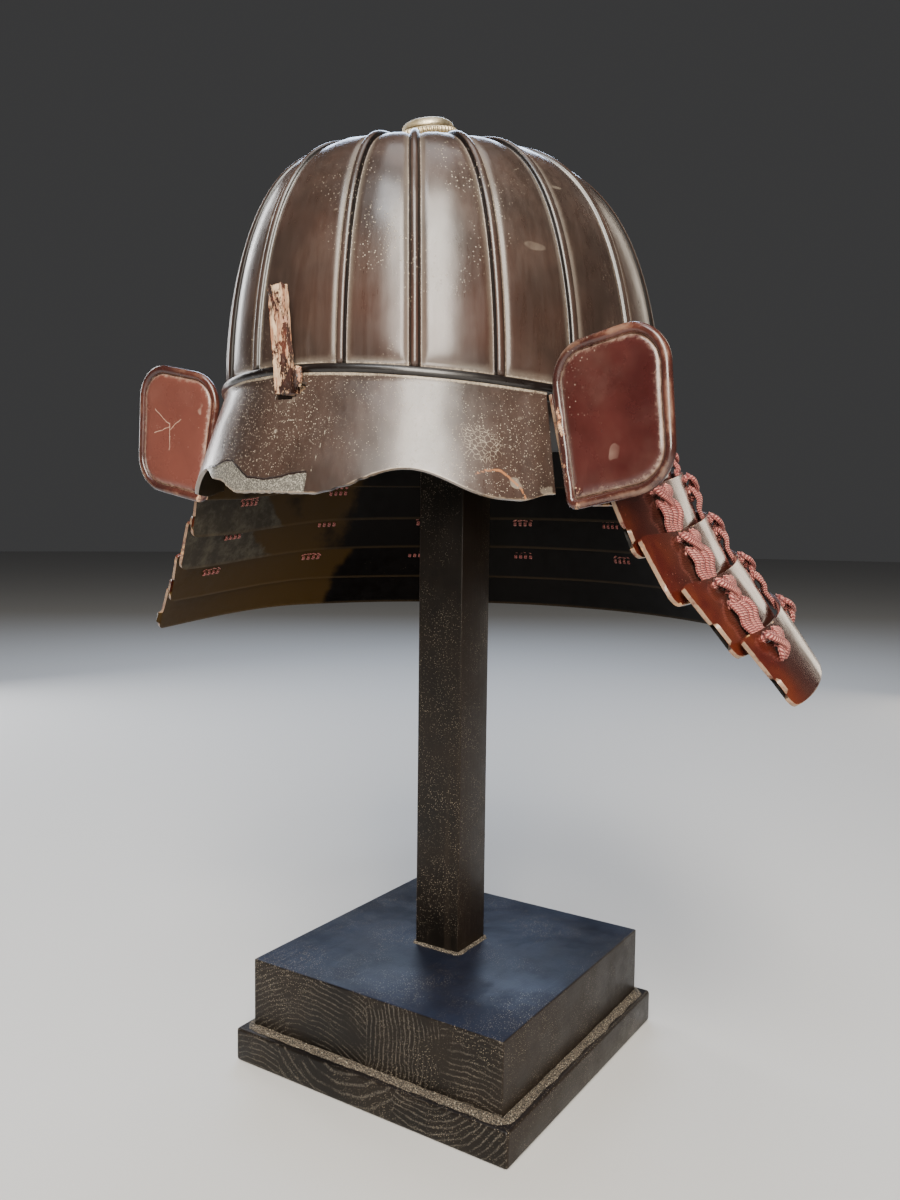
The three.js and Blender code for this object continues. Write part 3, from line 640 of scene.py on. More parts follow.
def black_oak(name, staves, painted_blue_sheen=0.0, upright=False):
    """Black-stained oak. staves are the glued strips seen from the front: where each one
    ends, where its growth rings centre, and how far apart they lie, in millimetres."""
    f = Finish(name)
    x, _, z = f.parts(f.place)
    nx, ny, nz = f.parts(f.facing())
    side = abs(nx)
    front = f.fade(abs(ny), 0.6, 0.8)
    top = f.fade(nz, 0.6, 0.85)
    wobble = (f.noise(60, 3) - 0.5) * 0.006
    rings = None
    start = -1.0
    for end, centre_x, centre_z, pitch in staves:
        dx = x - centre_x * MM
        dz = z - centre_z * MM
        away = f.calc("SQRT", dx * dx + dz * dz)
        turn = f.calc("FRACT", (away + wobble) / (pitch * MM))
        line = f.fade(turn, 0.0, 0.12) * f.fade(turn, 0.38, 0.24)
        inside = f.calc("GREATER_THAN", x, start) * f.calc("LESS_THAN", x, end * MM)
        piece_of = line * inside
        rings = piece_of if rings is None else rings + piece_of
        start = end * MM
    pores = f.fade(f.noise(1500, 3, 0.75, at=f.stretched((1, 0.1, 1))), 0.44, 0.56)
    patchy = f.fade(f.noise(38, 4, 0.6), 0.36, 0.56)
    end_grain = rings * pores * (front * patchy)
    flow = f.noise(260, 4, 0.65, at=f.stretched((1, 1, 0.03) if upright else (1, 0.045, 1)))
    long_grain = f.fade(flow, 0.5, 0.7)
    if upright:
        end_grain = f.fade(pores, 0.7, 1.0) * top
    else:
        long_grain = long_grain * (1.0 - front)
    stain = f.tint(f.fade(f.noise(22, 4, 0.6), 0.35, 0.7), (0.0052, 0.0042, 0.0034),
                   (0.012, 0.0088, 0.0064))
    side_brown = f.tint(side * 0.5, stain, (0.02, 0.0125, 0.008))
    grained = f.tint(long_grain * 0.3, side_brown, (0.026, 0.019, 0.0135))
    ends = f.tint(end_grain * 0.5, grained, (0.15, 0.13, 0.104))
    # Painted reflection: the top faces are tinted blue in patches, standing for the sheen of a cool light
    # from behind.
    sheen_patch = f.fade(f.noise(14, 4, 0.6), 0.35, 0.65, 0.45, 1.0)
    blue_sheen_painted = f.tint(top * painted_blue_sheen * sheen_patch, ends, (0.013, 0.019, 0.04))
    grit = f.fade(f.cells(1150), 0.24, 0.11) * f.fade(f.noise(26, 5, 0.7), 0.41, 0.64)
    color = f.tint(grit * 0.8, blue_sheen_painted, (0.48, 0.41, 0.31))
    rough = f.fade(f.noise(45, 5, 0.7), 0.3, 0.75, 0.3, 0.5)
    low = f.relief(end_grain + flow * -0.6, -0.0003, 0.55)
    skin = f.relief(f.noise(700, 4, 0.7), 0.00012, 0.4, under=low)
    return f.set(color=color, rough=rough, normal=skin, specular=0.2)


def gritty_dust(name):
    """Pale grains among dark grit."""
    f = Finish(name)
    sand = f.tint(f.fade(f.cells(1500), 0.25, 0.6), (0.15, 0.118, 0.084), (0.026, 0.021, 0.016))
    color = f.tint(f.fade(f.noise(1400, 3, 0.8), 0.58, 0.66), sand, (0.62, 0.54, 0.41))
    skin = f.relief(f.noise(1300, 4, 0.8), 0.0007, 1.0)
    return f.set(color=color, rough=0.75, normal=skin)


# ---------------------------------------------------------------- stand
def timber(name, node, bevel, finish):
    """Squared timber filling its solid's box, with eased edges."""
    low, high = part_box(node)
    bm = bmesh.new()
    bmesh.ops.create_cube(bm, size=1)
    size = high - low
    bmesh.ops.scale(bm, vec=size, verts=bm.verts)
    bmesh.ops.translate(bm, vec=(low + high) / 2, verts=bm.verts)
    bmesh.ops.bevel(bm, geom=list(bm.edges), offset=bevel * MM, offset_type="OFFSET", segments=4,
                    profile=0.5, affect="EDGES", material=-1, clamp_overlap=True)
    return piece(bm, name, [finish], [node])


def dust_line(name, half, centre, height, wide, tall, finish):
    """Grit lying in the corner where one timber stands on another."""
    across = 6
    perimeter = 8 * half
    count = int(perimeter / 0.9)

    def place(i, j):
        run = (i % count) / count * perimeter
        leg, step = divmod(run, 2 * half)
        ways = [((-1, -1), (1, 0)), ((1, -1), (0, 1)), ((1, 1), (-1, 0)), ((-1, 1), (0, -1))]
        (sx, sy), (tx, ty) = ways[int(leg)]
        share = j / across
        bumpy = noise.noise(Vector((run * 0.9, share * 3, 1.7)))
        coarse = noise.noise(Vector((run * 0.13, 4.2, 0.3)))
        out = (0.3 + wide * share) * (1 + 0.25 * coarse) + 0.35 * bumpy
        up = tall * math.cos(share * math.pi / 2) ** 0.8 * (1 + 0.35 * coarse) + 0.3 * bumpy * (1 - share)
        nx, ny = ty, -tx
        x = centre[0] + sx * half + tx * step + nx * out
        y = centre[1] + sy * half + ty * step + ny * out
        return ((x, y, height + max(up, 0.02)),)

    bm = laid(count, across, place, at=STAND)
    weld(bm)
    face_out(bm)
    return piece(bm, name, [finish])


BLOCK_HALF = 75.0
POST_HALF = 13.55
BLOCK_STAVES = [(-1.5, -36, -22, 2.7), (42, -66, 34, 2.5), (90, 56, -74, 2.9)]
PLINTH_STAVES = [(-52, -66, -22, 2.9), (20, -12, 46, 5.0), (90, 34, 44, 2.9)]
POST_STAVES = [(90, 0, 0, 3.0)]


def make_stand():
    # The last number of each oak finish sets how strong the painted blue reflection on its top faces is.
    timber("plinth", "stand_plinth", 1.7, black_oak("plinth_oak", PLINTH_STAVES, 0.1))
    timber("block", "stand_block", 0.9, black_oak("block_oak", BLOCK_STAVES, 0.8))
    timber("post", "stand_post", 0.7, black_oak("post_oak", POST_STAVES, 0.2, upright=True))
    grit = gritty_dust("gritty_dust")
    block_low, block_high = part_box("stand_block")
    post_low, post_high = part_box("stand_post")
    post_middle = (post_low + post_high) / 2 / MM
    dust_line("grit_round_block", BLOCK_HALF, (0, 0), block_low.z / MM - 0.3, 4.0, 1.7, grit)
    dust_line("grit_round_post", POST_HALF, (post_middle.x, post_middle.y), block_high.z / MM, 1.9, 1.1, grit)


# ---------------------------------------------------------------- bowl
def border_drop(angle):
    q = 1 - math.cos(angle)
    return BORDER_FALL * q / (1 + BORDER_FLATTEN * q)


def bowl_long(angle):
    return BOWL_FRONT_LONG if math.cos(angle) > 0 else BOWL_BACK_LONG


def bowl_point(angle, climb, inset=0.0):
    """Point of the bowl's plain surface: angle from the brow towards +X, climb 0 to 90."""
    rise = math.sin(climb) ** (2 / BOWL_RISE_POWER)
    reach = math.cos(climb) ** (2 / BOWL_SHOULDER_POWER)
    wide = (BOWL_HALF_WIDE - inset) * reach
    long = (bowl_long(angle) - inset) * reach
    y = -long * math.cos(angle) - CROWN_FORWARD * rise ** 2 - CROWN_PULL * rise ** 8
    z = (BOWL_TALL - inset) * rise - border_drop(angle) * (1 - rise) ** 2
    return Vector((wide * math.sin(angle), y, z))


def sunk(radius):
    return CROWN_SUNK * (1 - smooth(radius, 24, 62))


def bowl_out(angle, climb):
    """Outward direction of the bowl's surface."""
    step = 0.004
    ahead = bowl_point(angle + step, climb) - bowl_point(angle - step, climb)
    up = bowl_point(angle, min(climb + step, 1.57)) - bowl_point(angle, climb - step)
    return ahead.cross(up).normalized()


def border_point(angle, out, up):
    return Vector(((BOWL_HALF_WIDE + out) * math.sin(angle), -(bowl_long(angle) + out) * math.cos(angle),
                   up - border_drop(angle)))


def climb_at(radius):
    return math.acos((radius / BOWL_HALF_WIDE) ** (BOWL_SHOULDER_POWER / 2))


def side_lengths(climbs):
    """Distances up the side of the bowl to each climb."""
    return running_lengths([bowl_point(math.pi / 2, climb) for climb in climbs])


def even_climbs(start, end, count):
    """Climbs that step evenly along the side of the bowl."""
    fine = [mix(start, end, k / 400) for k in range(401)]
    return [mix(fine[k], fine[k + 1], t) for k, t in even_places(side_lengths(fine), count)]


RIB_ANGLES = [d * RAD for d in RIBS] + [(360 - d) * RAD for d in reversed(RIBS)]
# Where grid lines run beside a rib: shares of the rib's half width, then millimetres past its foot.
RIB_LINES = [0.0, 0.3, 0.55, 0.76, 0.91, 1.0]
FOOT_LINES = [0.5, 1.1, 1.8, 2.7, 4.0, 7.0]
HALF_PITCH = len(RIB_LINES) + len(FOOT_LINES)


def bowl_column(index, radius):
    """Angle of a grid line, its distance past the nearest rib's foot, and its place across the rib."""
    rib, line = divmod(index, 2 * HALF_PITCH)
    rib %= len(RIB_ANGLES)
    here = RIB_ANGLES[rib]
    after = RIB_ANGLES[(rib + 1) % len(RIB_ANGLES)] + (2 * math.pi if rib + 1 == len(RIB_ANGLES) else 0)
    near = line if line <= HALF_PITCH else 2 * HALF_PITCH - line
    half = (after - here) / 2 * radius
    foot = min(RIB_HALF_WIDE, 0.5 * half)
    room = half - foot
    if near < len(RIB_LINES):
        offset = RIB_LINES[near] * foot
    elif near < HALF_PITCH:
        offset = foot + FOOT_LINES[near - len(RIB_LINES)] * min(1.0, room / 9.0)
    else:
        offset = half
    angle = here + offset / radius if line <= HALF_PITCH else after - offset / radius
    return angle, offset - foot, min(offset / foot, 1.0)


def panel_depth(side, below, above):
    """Distance in from a panel's edge, with its upper corners rounded."""
    r = PANEL_CORNER
    if side < r and above < r:
        return min(r - math.hypot(r - side, r - above), below)
    return min(side, below, above)


def make_bowl(outside):
    """Shell with rounded ribs, slightly pillowed panels and the rolled bead along its border."""
    lip = [(-BOWL_WALL, -4.5), (-1.4, -4.75), (-0.25, -4.5), (-0.25, -2.6), (0.1, -1.6)]
    for step in range(9):
        turn = mix(-70, 100, step / 8) * RAD
        lip.append((0.9 + BEAD_R * math.cos(turn), 0.2 + BEAD_R * math.sin(turn)))
    rows = [("border", out, up) for out, up in lip]
    base = climb_at(BOWL_HALF_WIDE - 0.02)
    climbs = even_climbs(base, climb_at(PANEL_TOP_R + 8), 58)
    climbs += even_climbs(climb_at(PANEL_TOP_R + 7), climb_at(CROWN_HOLE), 20)
    rows += [("skin", climb, 0) for climb in climbs]
    rows += [("inner", climb_at(r), 0) for r in (8.6, 20, 40, 62, 80, 92, 99)]
    rows += [("inner", c * RAD, 0) for c in (30, 18, 9)]
    columns = 2 * HALF_PITCH * len(RIB_ANGLES)
    tall = side_lengths(climbs)
    top_tall = tall[-1] - (PANEL_TOP_R - CROWN_HOLE)
    tip_tall = tall[-1] - (RIB_TIP_R - CROWN_HOLE)

    def place(i, j):
        kind, a, b = rows[j % len(rows)]
        if kind == "border":
            angle = bowl_column(i, BOWL_HALF_WIDE)[0]
            dust = 0.9 if b > 1.8 and a < 0.9 else 0.0
            # Below zero the second mark is painted shade: the border bead is painted dark all round, except
            # its dusty top.
            return border_point(angle, a, b), dust, 0.0 if dust else -0.75
        radius = max(BOWL_HALF_WIDE * math.cos(a) ** (2 / BOWL_SHOULDER_POWER), CROWN_HOLE)
        angle, past, across = bowl_column(i, radius)
        if kind == "inner":
            return bowl_point(angle, a, BOWL_WALL + sunk(radius)), 0.0, 0.0
        up = tall[j % len(rows) - len(lip)]
        point = bowl_point(angle, a)
        above_tip = tip_tall - up
        tip = math.sqrt(max(0.0, 1 - max(0.0, 1 - above_tip / 2.2) ** 2)) if above_tip > 0 else 0.0
        if past <= 0:
            swell = 1 + 0.25 * smooth(up, tip_tall - 34, tip_tall - 10)
            tall_here = RIB_PROUD * swell + 0.75 * sunk(radius)
            rise = tall_here * math.sqrt(max(0.0, 1 - across ** 2)) * tip - sunk(radius)
            dust = 0.95 * (1 - tip)
            # Below zero the second mark is painted shade, darkening the rib's flanks towards its foot.
            return point + bowl_out(angle, a) * rise, dust, -smooth(across, 0.5, 0.9) * tip
        inside = panel_depth(past, up - 1.0, top_tall - up)
        groove = smooth(inside, -0.6, 0.3) * (1 - smooth(inside, 0.3, 1.6))
        shoulder = 0.55 * smooth(inside, 0.7, 2.8) - 0.3 * groove
        belly = 0.55 * smooth(inside, 2.5, 14)
        dust = (1 - smooth(inside, 0.1, 1.2)) * (0.85 + 0.15 * smooth(up, tip_tall - 30, tip_tall))
        bloom_and_shade = (1 - smooth(inside, 0.8, 4.0)) * 0.7
        return point + bowl_out(angle, a) * (shoulder + belly - sunk(radius)), dust, bloom_and_shade

    bm = laid(columns, len(rows), place, marks=("dust", "bloom_and_shade"))
    weld(bm)
    return piece(bm, "ribbed_bowl", [outside], ["bowl"])


# ---------------------------------------------------------------- crown ornament
SKIRT_R = 16.4
REED_R = 14.9
CAP_R = 12.5
ORNAMENT = (HELMET @ Matrix.Translation(Vector((0, -CROWN_FORWARD - CROWN_PULL, BOWL_TALL)) * MM)
            @ Matrix.Rotation(-3.5 * RAD, 4, Vector((-0.545, 0.839, 0)))
            @ Matrix.Rotation(6 * RAD, 4, "X") @ Matrix.Rotation(2 * RAD, 4, "Y"))


def turned_ring(name, node, profile, count, shape, finish):
    """Turned piece: profile rows of radius, height, dust and painted shade where the parts meet, closed on
    the axis; shape gives the radius's change round it."""
    def place(i, j):
        r, z, dust, painted_shade = profile[j]
        angle = (i % count) / count * 2 * math.pi
        reach, low = shape(angle, j)
        radius = max(r + reach, 0.0)
        return (radius * math.cos(angle), radius * math.sin(angle), z), dust + low, painted_shade

    bm = laid(count, len(profile) - 1, place, marks=("dust", "painted_shade"), at=ORNAMENT)
    weld(bm)
    face_out(bm)
    return piece(bm, name, [finish], [node])


def make_ornament(finish):
    petals = 18

    def petal(angle, row):
        if not 2 <= row <= 9:
            return 0.0, 0.0
        lobe = abs(math.sin(angle * petals / 2))
        depth = 1.5 if row < 8 else 0.9
        return depth * (math.sqrt(lobe) - 1), 0.7 * (1 - min(1.0, lobe * 1.6))

    # Rows of the skirt, ring and cap: radius, height, dust, and painted shade where the parts meet.
    skirt = [(0.0, -2.4, 0, 0), (7.6, -2.4, 0.5, 0.6), (8.0, -1.0, 0.5, 0.8), (15.2, -1.0, 0.9, 0.6),
             (SKIRT_R - 0.1, -0.5, 0.9, 0.1), (SKIRT_R, 2.2, 0.6, 0), (SKIRT_R - 0.2, 4.8, 0.25, 0),
             (SKIRT_R - 0.5, 6.2, 0.3, 0), (SKIRT_R - 1.1, 7.6, 0.4, 0), (SKIRT_R - 1.9, 8.9, 0.55, 0),
             (13.0, 9.9, 0.8, 0.4), (12.4, 10.35, 0.8, 0.9), (0.0, 10.4, 0, 0)]
    turned_ring("petalled_skirt", "crown_skirt", skirt, petals * 12, petal, finish)

    def reed(angle, row):
        if not 2 <= row <= 6:
            return 0.0, 0.0
        slant = angle * 44 + row * 0.35
        wave = abs(math.sin(slant / 2))
        return 1.15 * (wave ** 0.6 - 1), 0.9 * (1 - min(1.0, wave * 1.8))

    ring = [(0.0, 10.7, 0, 0), (12.6, 10.7, 0.4, 1.0), (REED_R - 0.9, 11.0, 0.2, 0.5),
            (REED_R - 0.2, 11.5, 0.1, 0), (REED_R, 12.4, 0, 0), (REED_R - 0.15, 13.3, 0.1, 0),
            (REED_R - 0.8, 14.0, 0.25, 0.1), (13.2, 14.4, 0.5, 0.9), (0.0, 14.4, 0, 0)]
    turned_ring("reeded_ring", "crown_reeded_ring", ring, 44 * 8, reed, finish)

    def dented(angle, row):
        return 0.12 * math.sin(angle * 2 + 0.8) + 0.08 * math.sin(angle * 5 + row), 0.0

    cap = [(0.0, 14.7, 0, 0), (11.8, 14.7, 0.3, 1.0), (CAP_R - 0.3, 14.95, 0.2, 0.4), (CAP_R, 15.4, 0, 0),
           (CAP_R - 0.1, 16.1, 0, 0)]
    cap += [(CAP_R * math.cos(d * RAD) ** 0.75, 15.4 + 4.7 * math.sin(d * RAD), 0.1, 0)
            for d in range(14, 90, 8)]
    cap += [(0.0, 20.1, 0.1, 0)]
    turned_ring("domed_cap", "crown_cap", cap, 96, dented, finish)


# ---------------------------------------------------------------- peak
# Cracks in the peak: degrees from the brow and millimetres down from the border.
PALE_CRACKS = [
    [(-1.6, 12.6), (0.2, 16.0), (2.2, 21.0), (3.9, 21.2), (5.4, 21.9), (6.8, 17.5), (7.6, 12.9)],
    [(12.6, 17.0), (11.4, 30.0), (10.1, 42.4)],
]
WARM_CRACKS = [
    [(41.6, 38.6), (43.8, 36.8), (46.3, 36.4)],
    [(46.3, 36.4), (48.6, 39.9), (50.4, 43.0), (51.4, 47.5)],
]
# Upper edge of the strip that has lost its lacquer: degrees, and millimetres up from the peak's edge.
BARE_STRIP = [(-27.5, 0.0), (-22.1, 3.4), (-16.0, 8.0), (-12.7, 10.1), (-9.5, 9.4), (-6.0, 5.9), (-1.2, 4.8),
              (2.4, 5.6), (5.6, 7.2), (9.4, 7.9)]


PEAK_MARKS = ("dust", "bloom_and_shade", "bare", "pale_crack", "warm_crack", "rim", "speckle", "crazed")


def peak_depth(degrees):
    """Depth of the peak's lower edge: full at the brow and the ends, arched over each eye."""
    def bump(at, half):
        return 0.5 * (1 + math.cos(math.pi * at / half)) if abs(at) < half else 0.0

    side = abs(degrees)
    arch = PEAK_ARCH * bump(side - PEAK_ARCH_AT, PEAK_ARCH_HALF)
    chip = PEAK_CHIP * bump(degrees - PEAK_CHIP_AT, PEAK_CHIP_HALF)
    rise = PEAK_SIDE_RISE * smooth(side, 25, 45) + 4 * smooth(side, 50, PEAK_END)
    return PEAK_DEPTH - arch - chip - rise


def along_table(table, at):
    for (a, low), (b, high) in zip(table, table[1:]):
        if a <= at <= b:
            return mix(low, high, (at - a) / (b - a))
    return None


def distance_to(line, at):
    """Distance in millimetres from a point of the peak to a crack."""
    scale = Vector((2.05, 1.0))
    here = Vector(at) * scale
    best = 99.0
    for a, b in zip(line, line[1:]):
        start = Vector((a[0] * scale.x, a[1]))
        run = Vector((b[0] * scale.x, b[1])) - start
        share = min(max((here - start).dot(run) / run.length_squared, 0.0), 1.0)
        best = min(best, (here - start - run * share).length)
    return best


def make_peak(outside, inside):
    columns = 228
    rows = 50
    top = 1.5

    def spot(i, j):
        """Where a grid point lies: degrees, millimetres down, and how far down the edge is."""
        degrees = mix(-PEAK_END, PEAK_END, i / columns)
        end = peak_depth(degrees)
        ragged = 0.0
        if -30 < degrees < 10:
            ragged = 0.5 * noise.noise(Vector((degrees * 0.9, 0.2, 0.0)))
        if 10 <= degrees < 22:
            ragged = 0.9 * noise.noise(Vector((degrees * 0.6, 0.7, 0.0))) - 0.4
        return degrees, mix(top, end + ragged * (j / rows) ** 6, j / rows), end

    def place(i, j):
        degrees, down, end = spot(i, j)
        flare = PEAK_FLARE * (1 - 0.4 * smooth(abs(degrees), 44, PEAK_END))
        out = 0.1 + PEAK_THICK + flare * max(down - 4, 0)
        height = along_table(BARE_STRIP, degrees)
        bare = height - (end - down) if height is not None else -6.0
        bare = min(bare, (9.6 - degrees) * 2.0, (degrees + 27.6) * 2.0)
        out -= 0.45 * smooth(bare, -0.2, 0.5)
        out += 0.5 * noise.noise(Vector((degrees * 0.045, down * 0.05, 3.1)))
        pale = min(distance_to(line, (degrees, down)) for line in PALE_CRACKS)
        warm = min(distance_to(line, (degrees, down)) for line in WARM_CRACKS)
        rim = min(end - down, (PEAK_END - abs(degrees)) * 1.9 + 1.0)
        near_notch = 1 - smooth(math.hypot(degrees * 2 - 1.4, down - 9), 6, 13)
        dust = max(0.75 * (1 - smooth(down, 2.2, 3.8)), 0.35 * near_notch)
        speckle = 0.22 * (1 - smooth(degrees, -6, 16)) + 0.05
        web = 0.85 * (1 - smooth(math.hypot((degrees - 43) * 1.2, (down - 27) * 0.8), 1, 12))
        point = border_point(degrees * RAD, out, -down)
        return point, dust, 0.25 * near_notch, bare, pale, warm, rim, speckle, web

    def keep(i, j):
        degrees, down, _ = spot(i, j)
        notch = 5.2 < down < 12.0 and -3.2 < degrees < 4.8 - max(0.0, down - 8.0) * 0.9
        return not notch

    bm = laid(columns, rows, place, marks=PEAK_MARKS, keep=keep)
    bmesh.ops.reverse_faces(bm, faces=bm.faces)
    return piece(bm, "arched_peak", [outside, inside], ["peak"],
                 wall=PEAK_THICK, soften=0.55)


# ---------------------------------------------------------------- crest holder
def make_crest_holder(finish):
    """Broken tab of lacquered wood over the brow, with a splinter beside its foot."""
    brow = -BOWL_FRONT_LONG
    # Height, front and back of the tab.
    sections = [(-10.0, -6.3, 3.6), (-6.6, -6.65, 3.6), (-6.2, -6.7, -3.4), (-4, -6.9, -3.6), (4, -7.7, -4.3),
                (12, -8.4, -5.1), (22, -9.4, -6.0), (30, -10.1, -6.8), (33.4, -10.4, -7.1)]
    half = 4.5
    across = 10
    deep = 4
    round_it = 2 * (across + deep)
    heights = []
    for (low, _, _), (high, _, _) in zip(sections, sections[1:]):
        count = max(1, round((high - low) / 1.1))
        heights += [mix(low, high, k / count) for k in range(count)]
    heights.append(sections[-1][0])

    def rim_spot(i):
        i %= round_it
        if i < across:
            return i / across * 2 - 1, 0.0
        i -= across
        if i < deep:
            return 1.0, i / deep
        i -= deep
        if i < across:
            return 1 - i / across * 2, 1.0
        return -1.0, 1 - (i - across) / deep

    def place(i, j):
        z = heights[j]
        for (low, front_a, back_a), (high, front_b, back_b) in zip(sections, sections[1:]):
            if low <= z <= high:
                t = (z - low) / (high - low)
                front, back = mix(front_a, front_b, t), mix(back_a, back_b, t)
        u, v = rim_spot(i)
        wide = half * (1 - 0.07 * max(0.0, z) / 33)
        x, y = u * wide, mix(front, back, v)
        rough = noise.noise(Vector((x * 0.33, y * 0.4, z * 0.17)))
        gouge = max(0.0, noise.noise(Vector((x * 0.8, 4.0, z * 0.35))) - 0.12)
        if abs(u) > 0.95:
            x += 0.7 * rough * u
        if v < 0.02:
            y += 0.35 * rough + 1.5 * gouge
        ragged = 1.6 * noise.noise(Vector((x * 0.45, y * 0.3, 9.0)))
        top = z + ragged * smooth(z, 29, 33.4)
        return (Vector((x, brow + y, top)),)

    bm = laid(round_it, len(heights) - 1, place)
    weld(bm)
    cap_ends(bm)
    face_out(bm)
    piece(bm, "crest_tab", [finish], ["crest_holder"], soften=0.3)

    bm = bmesh.new()
    bmesh.ops.create_icosphere(bm, subdivisions=3, radius=1)
    for vert in bm.verts:
        side = vert.co.copy()
        side *= 1 + 0.45 * noise.noise(vert.co * 1.9 + Vector((3, 1, 2)))
        vert.co = Vector((6.6 + 2.6 * side.x, brow - 4.6 + 1.5 * side.y, -3.2 + 4.6 * side.z))
    bmesh.ops.transform(bm, matrix=HELMET @ Matrix.Scale(MM, 4), verts=bm.verts)
    piece(bm, "crest_tab_splinter", [finish])


# ---------------------------------------------------------------- neck guard
def lame_point(lame, degrees, share, out):
    """Point of a lame: angle from the back towards +X, share 0 at the top edge to 1 at the
    bottom, and distance out from the inner face."""
    top, low = lame["top"], lame["low"]

    def edge(k):
        return mix(top[k], low[k], share)

    angle = degrees * RAD
    c = math.cos(angle)
    long = edge(1) if c > 0 else edge(2)
    dip = FRONT_DIP * smooth(abs(degrees), 60, 100)
    first = lame is LAMES[0]
    level = mix(top[4] - border_drop(math.pi - angle), low[4], share) if first else edge(4)
    lift = (2.5 - dip) * (share if first else 1)
    wall = Vector((edge(0) * c, -long * math.sin(angle), 0)).normalized()
    slope = math.atan2(low[0] - top[0], top[4] - low[4])
    outward = Vector((-wall.y, wall.x, 0)) * math.cos(slope)
    return (Vector((edge(0) * math.sin(angle), edge(3) + long * c, level + lift))
            + (outward + Vector((0, 0, math.sin(slope)))) * out)


def lame_length(lame):
    return math.hypot(lame["low"][0] - lame["top"][0], lame["top"][4] - lame["low"][4])


def span_degrees(lame, degrees, distance):
    """Degrees that cover a distance along a lame from an angle."""
    run = (lame_point(lame, degrees + 1, 0.5, 0) - lame_point(lame, degrees, 0.5, 0)).length
    return distance / run


def lame_lines(lame, first):
    """Angles of a lame's grid lines: at each slot's ends, and every few millimetres between."""
    end = lame["top"][5]
    stops = [-end, end]
    if not first:
        for lace in LACES:
            half = span_degrees(lame, lace, SLOT_HALF)
            stops += [lace - half, lace + half]
    stops.sort()
    lines = [stops[0]]
    for a, b in zip(stops, stops[1:]):
        count = max(1, round((b - a) / span_degrees(lame, a, 3.2)))
        lines += [mix(a, b, (k + 1) / count) for k in range(count)]
    fine_end = [end - span_degrees(lame, end, d) for d in (0.5, 1.2, 2.2, 3.6, 5.2)]
    lines += fine_end + [-d for d in fine_end]
    return sorted(lines)


LAME_MARKS = ("rim", "front", "olive", "ashy", "lower_edge")


def make_lame(number, outside, inside):
    lame = LAMES[number - 1]
    first = number == 1
    lines = lame_lines(lame, first)
    long = lame_length(lame)
    count = max(10, round(long / 1.6))
    downs = [long * k / count for k in range(count + 1)]
    if not first:
        downs = sorted([0, 0.5, 1.2, 2.0, SLOT_FROM, SLOT_TO] + [d for d in downs if d > SLOT_TO + 0.8])
    end = lame["top"][5]
    reach = span_degrees(lame, end, CORNER_R)

    def place(i, j):
        degrees, down = lines[i], downs[j]
        share = down / long
        near = max(0.0, 1 - (end - abs(degrees)) / reach)
        cut = CORNER_R / long * (1 - math.sqrt(max(0.0, 1 - near * near)))
        eased = share if first else mix(cut * 0.35, 1 - cut, share)
        swing = max(0.0, (abs(degrees) - 90) / (end - 90)) * (lame["low"][5] - end) * share
        turned = degrees + (swing if degrees > 0 else -swing)
        wavy = 0.5 * noise.noise(Vector((degrees * 0.045, share * 0.8, number * 3.3)))
        front = (end - abs(degrees)) / reach * CORNER_R
        edge = min(front, long - down, down + 0.6)
        # Where the inner faces show olive brown instead of painted shade: the lit side, fuller on the lower
        # lames for the sheen they catch.
        olive = (1 - smooth(degrees, -62 - 3 * share, -48)) * (0.62 if number < 4 else 1.0)
        ashy = (1 - smooth(degrees, -92 + 8 * share, -80 + 8 * share)) * (0.85 if number in (2, 3) else 0.0)
        return lame_point(lame, turned, eased, LAME_THICK + wavy), edge, front, olive, ashy, long - down

    def keep(i, j):
        if first or downs[j] != SLOT_FROM:
            return True
        middle = (lines[i] + lines[i + 1]) / 2
        return not any(abs(middle - lace) < span_degrees(lame, lace, SLOT_HALF) for lace in LACES)

    bm = laid(len(lines) - 1, len(downs) - 1, place, marks=LAME_MARKS, keep=keep)
    return piece(bm, f"guard_lame_{number}", [outside, inside], [f"neck_lame_{number}"],
                 wall=LAME_THICK, soften=0.5)


# ---------------------------------------------------------------- turned-back ends
def wing_outline(count):
    """Evenly spaced outline of a turned-back end, with the inward direction at each point."""
    dense = []
    total = len(WING_CORNERS)
    for k, (u, v, r) in enumerate(WING_CORNERS):
        here = Vector((u, v))
        before = Vector(WING_CORNERS[k - 1][:2])
        after = Vector(WING_CORNERS[(k + 1) % total][:2])
        a = (before - here).normalized()
        b = (after - here).normalized()
        half = math.acos(a.dot(b)) / 2
        centre = here + (a + b).normalized() * (r / math.sin(half))
        start = here + a * (r / math.tan(half)) - centre
        for step in range(41):
            turn = -(math.pi - 2 * half) * step / 40
            spoke = Matrix.Rotation(turn, 2) @ start
            dense.append((centre + spoke, -spoke.normalized()))
    closed = dense + dense[:1]
    lengths = running_lengths([spot for spot, _ in closed])
    found = []
    for k, t in even_places(lengths, count)[:-1]:
        (p, n), (q, m) = closed[k], closed[k + 1]
        found.append((p.lerp(q, t), n.lerp(m, t).normalized()))
    return found


def wing_point(side, u, v, out):
    bow = out - 0.0022 * (u + 10) ** 2
    x = WING_AT[0] + u * math.cos(WING_YAW) + bow * math.sin(WING_YAW)
    y = WING_AT[1] + u * math.sin(WING_YAW) - bow * math.cos(WING_YAW)
    return Vector((side * x, y, WING_AT[2] + v))


# Outward and upward places of a long branching scratch in the wearer's-right field.
BRANCHED_SCRATCH = [[(15.5, 12.0), (9.5, 6.6), (5.9, 4.2), (5.2, -0.5), (5.9, -9.3)],
                    [(-2.4, 6.3), (2.0, 3.9), (5.2, 0.6)],
                    [(16.9, -0.5), (10.5, 0.8), (5.5, 2.4)]]
WING_ROUND = 132
WING_EDGE = wing_outline(WING_ROUND)
WING_MIDDLE = Vector((1.5, 0.5))


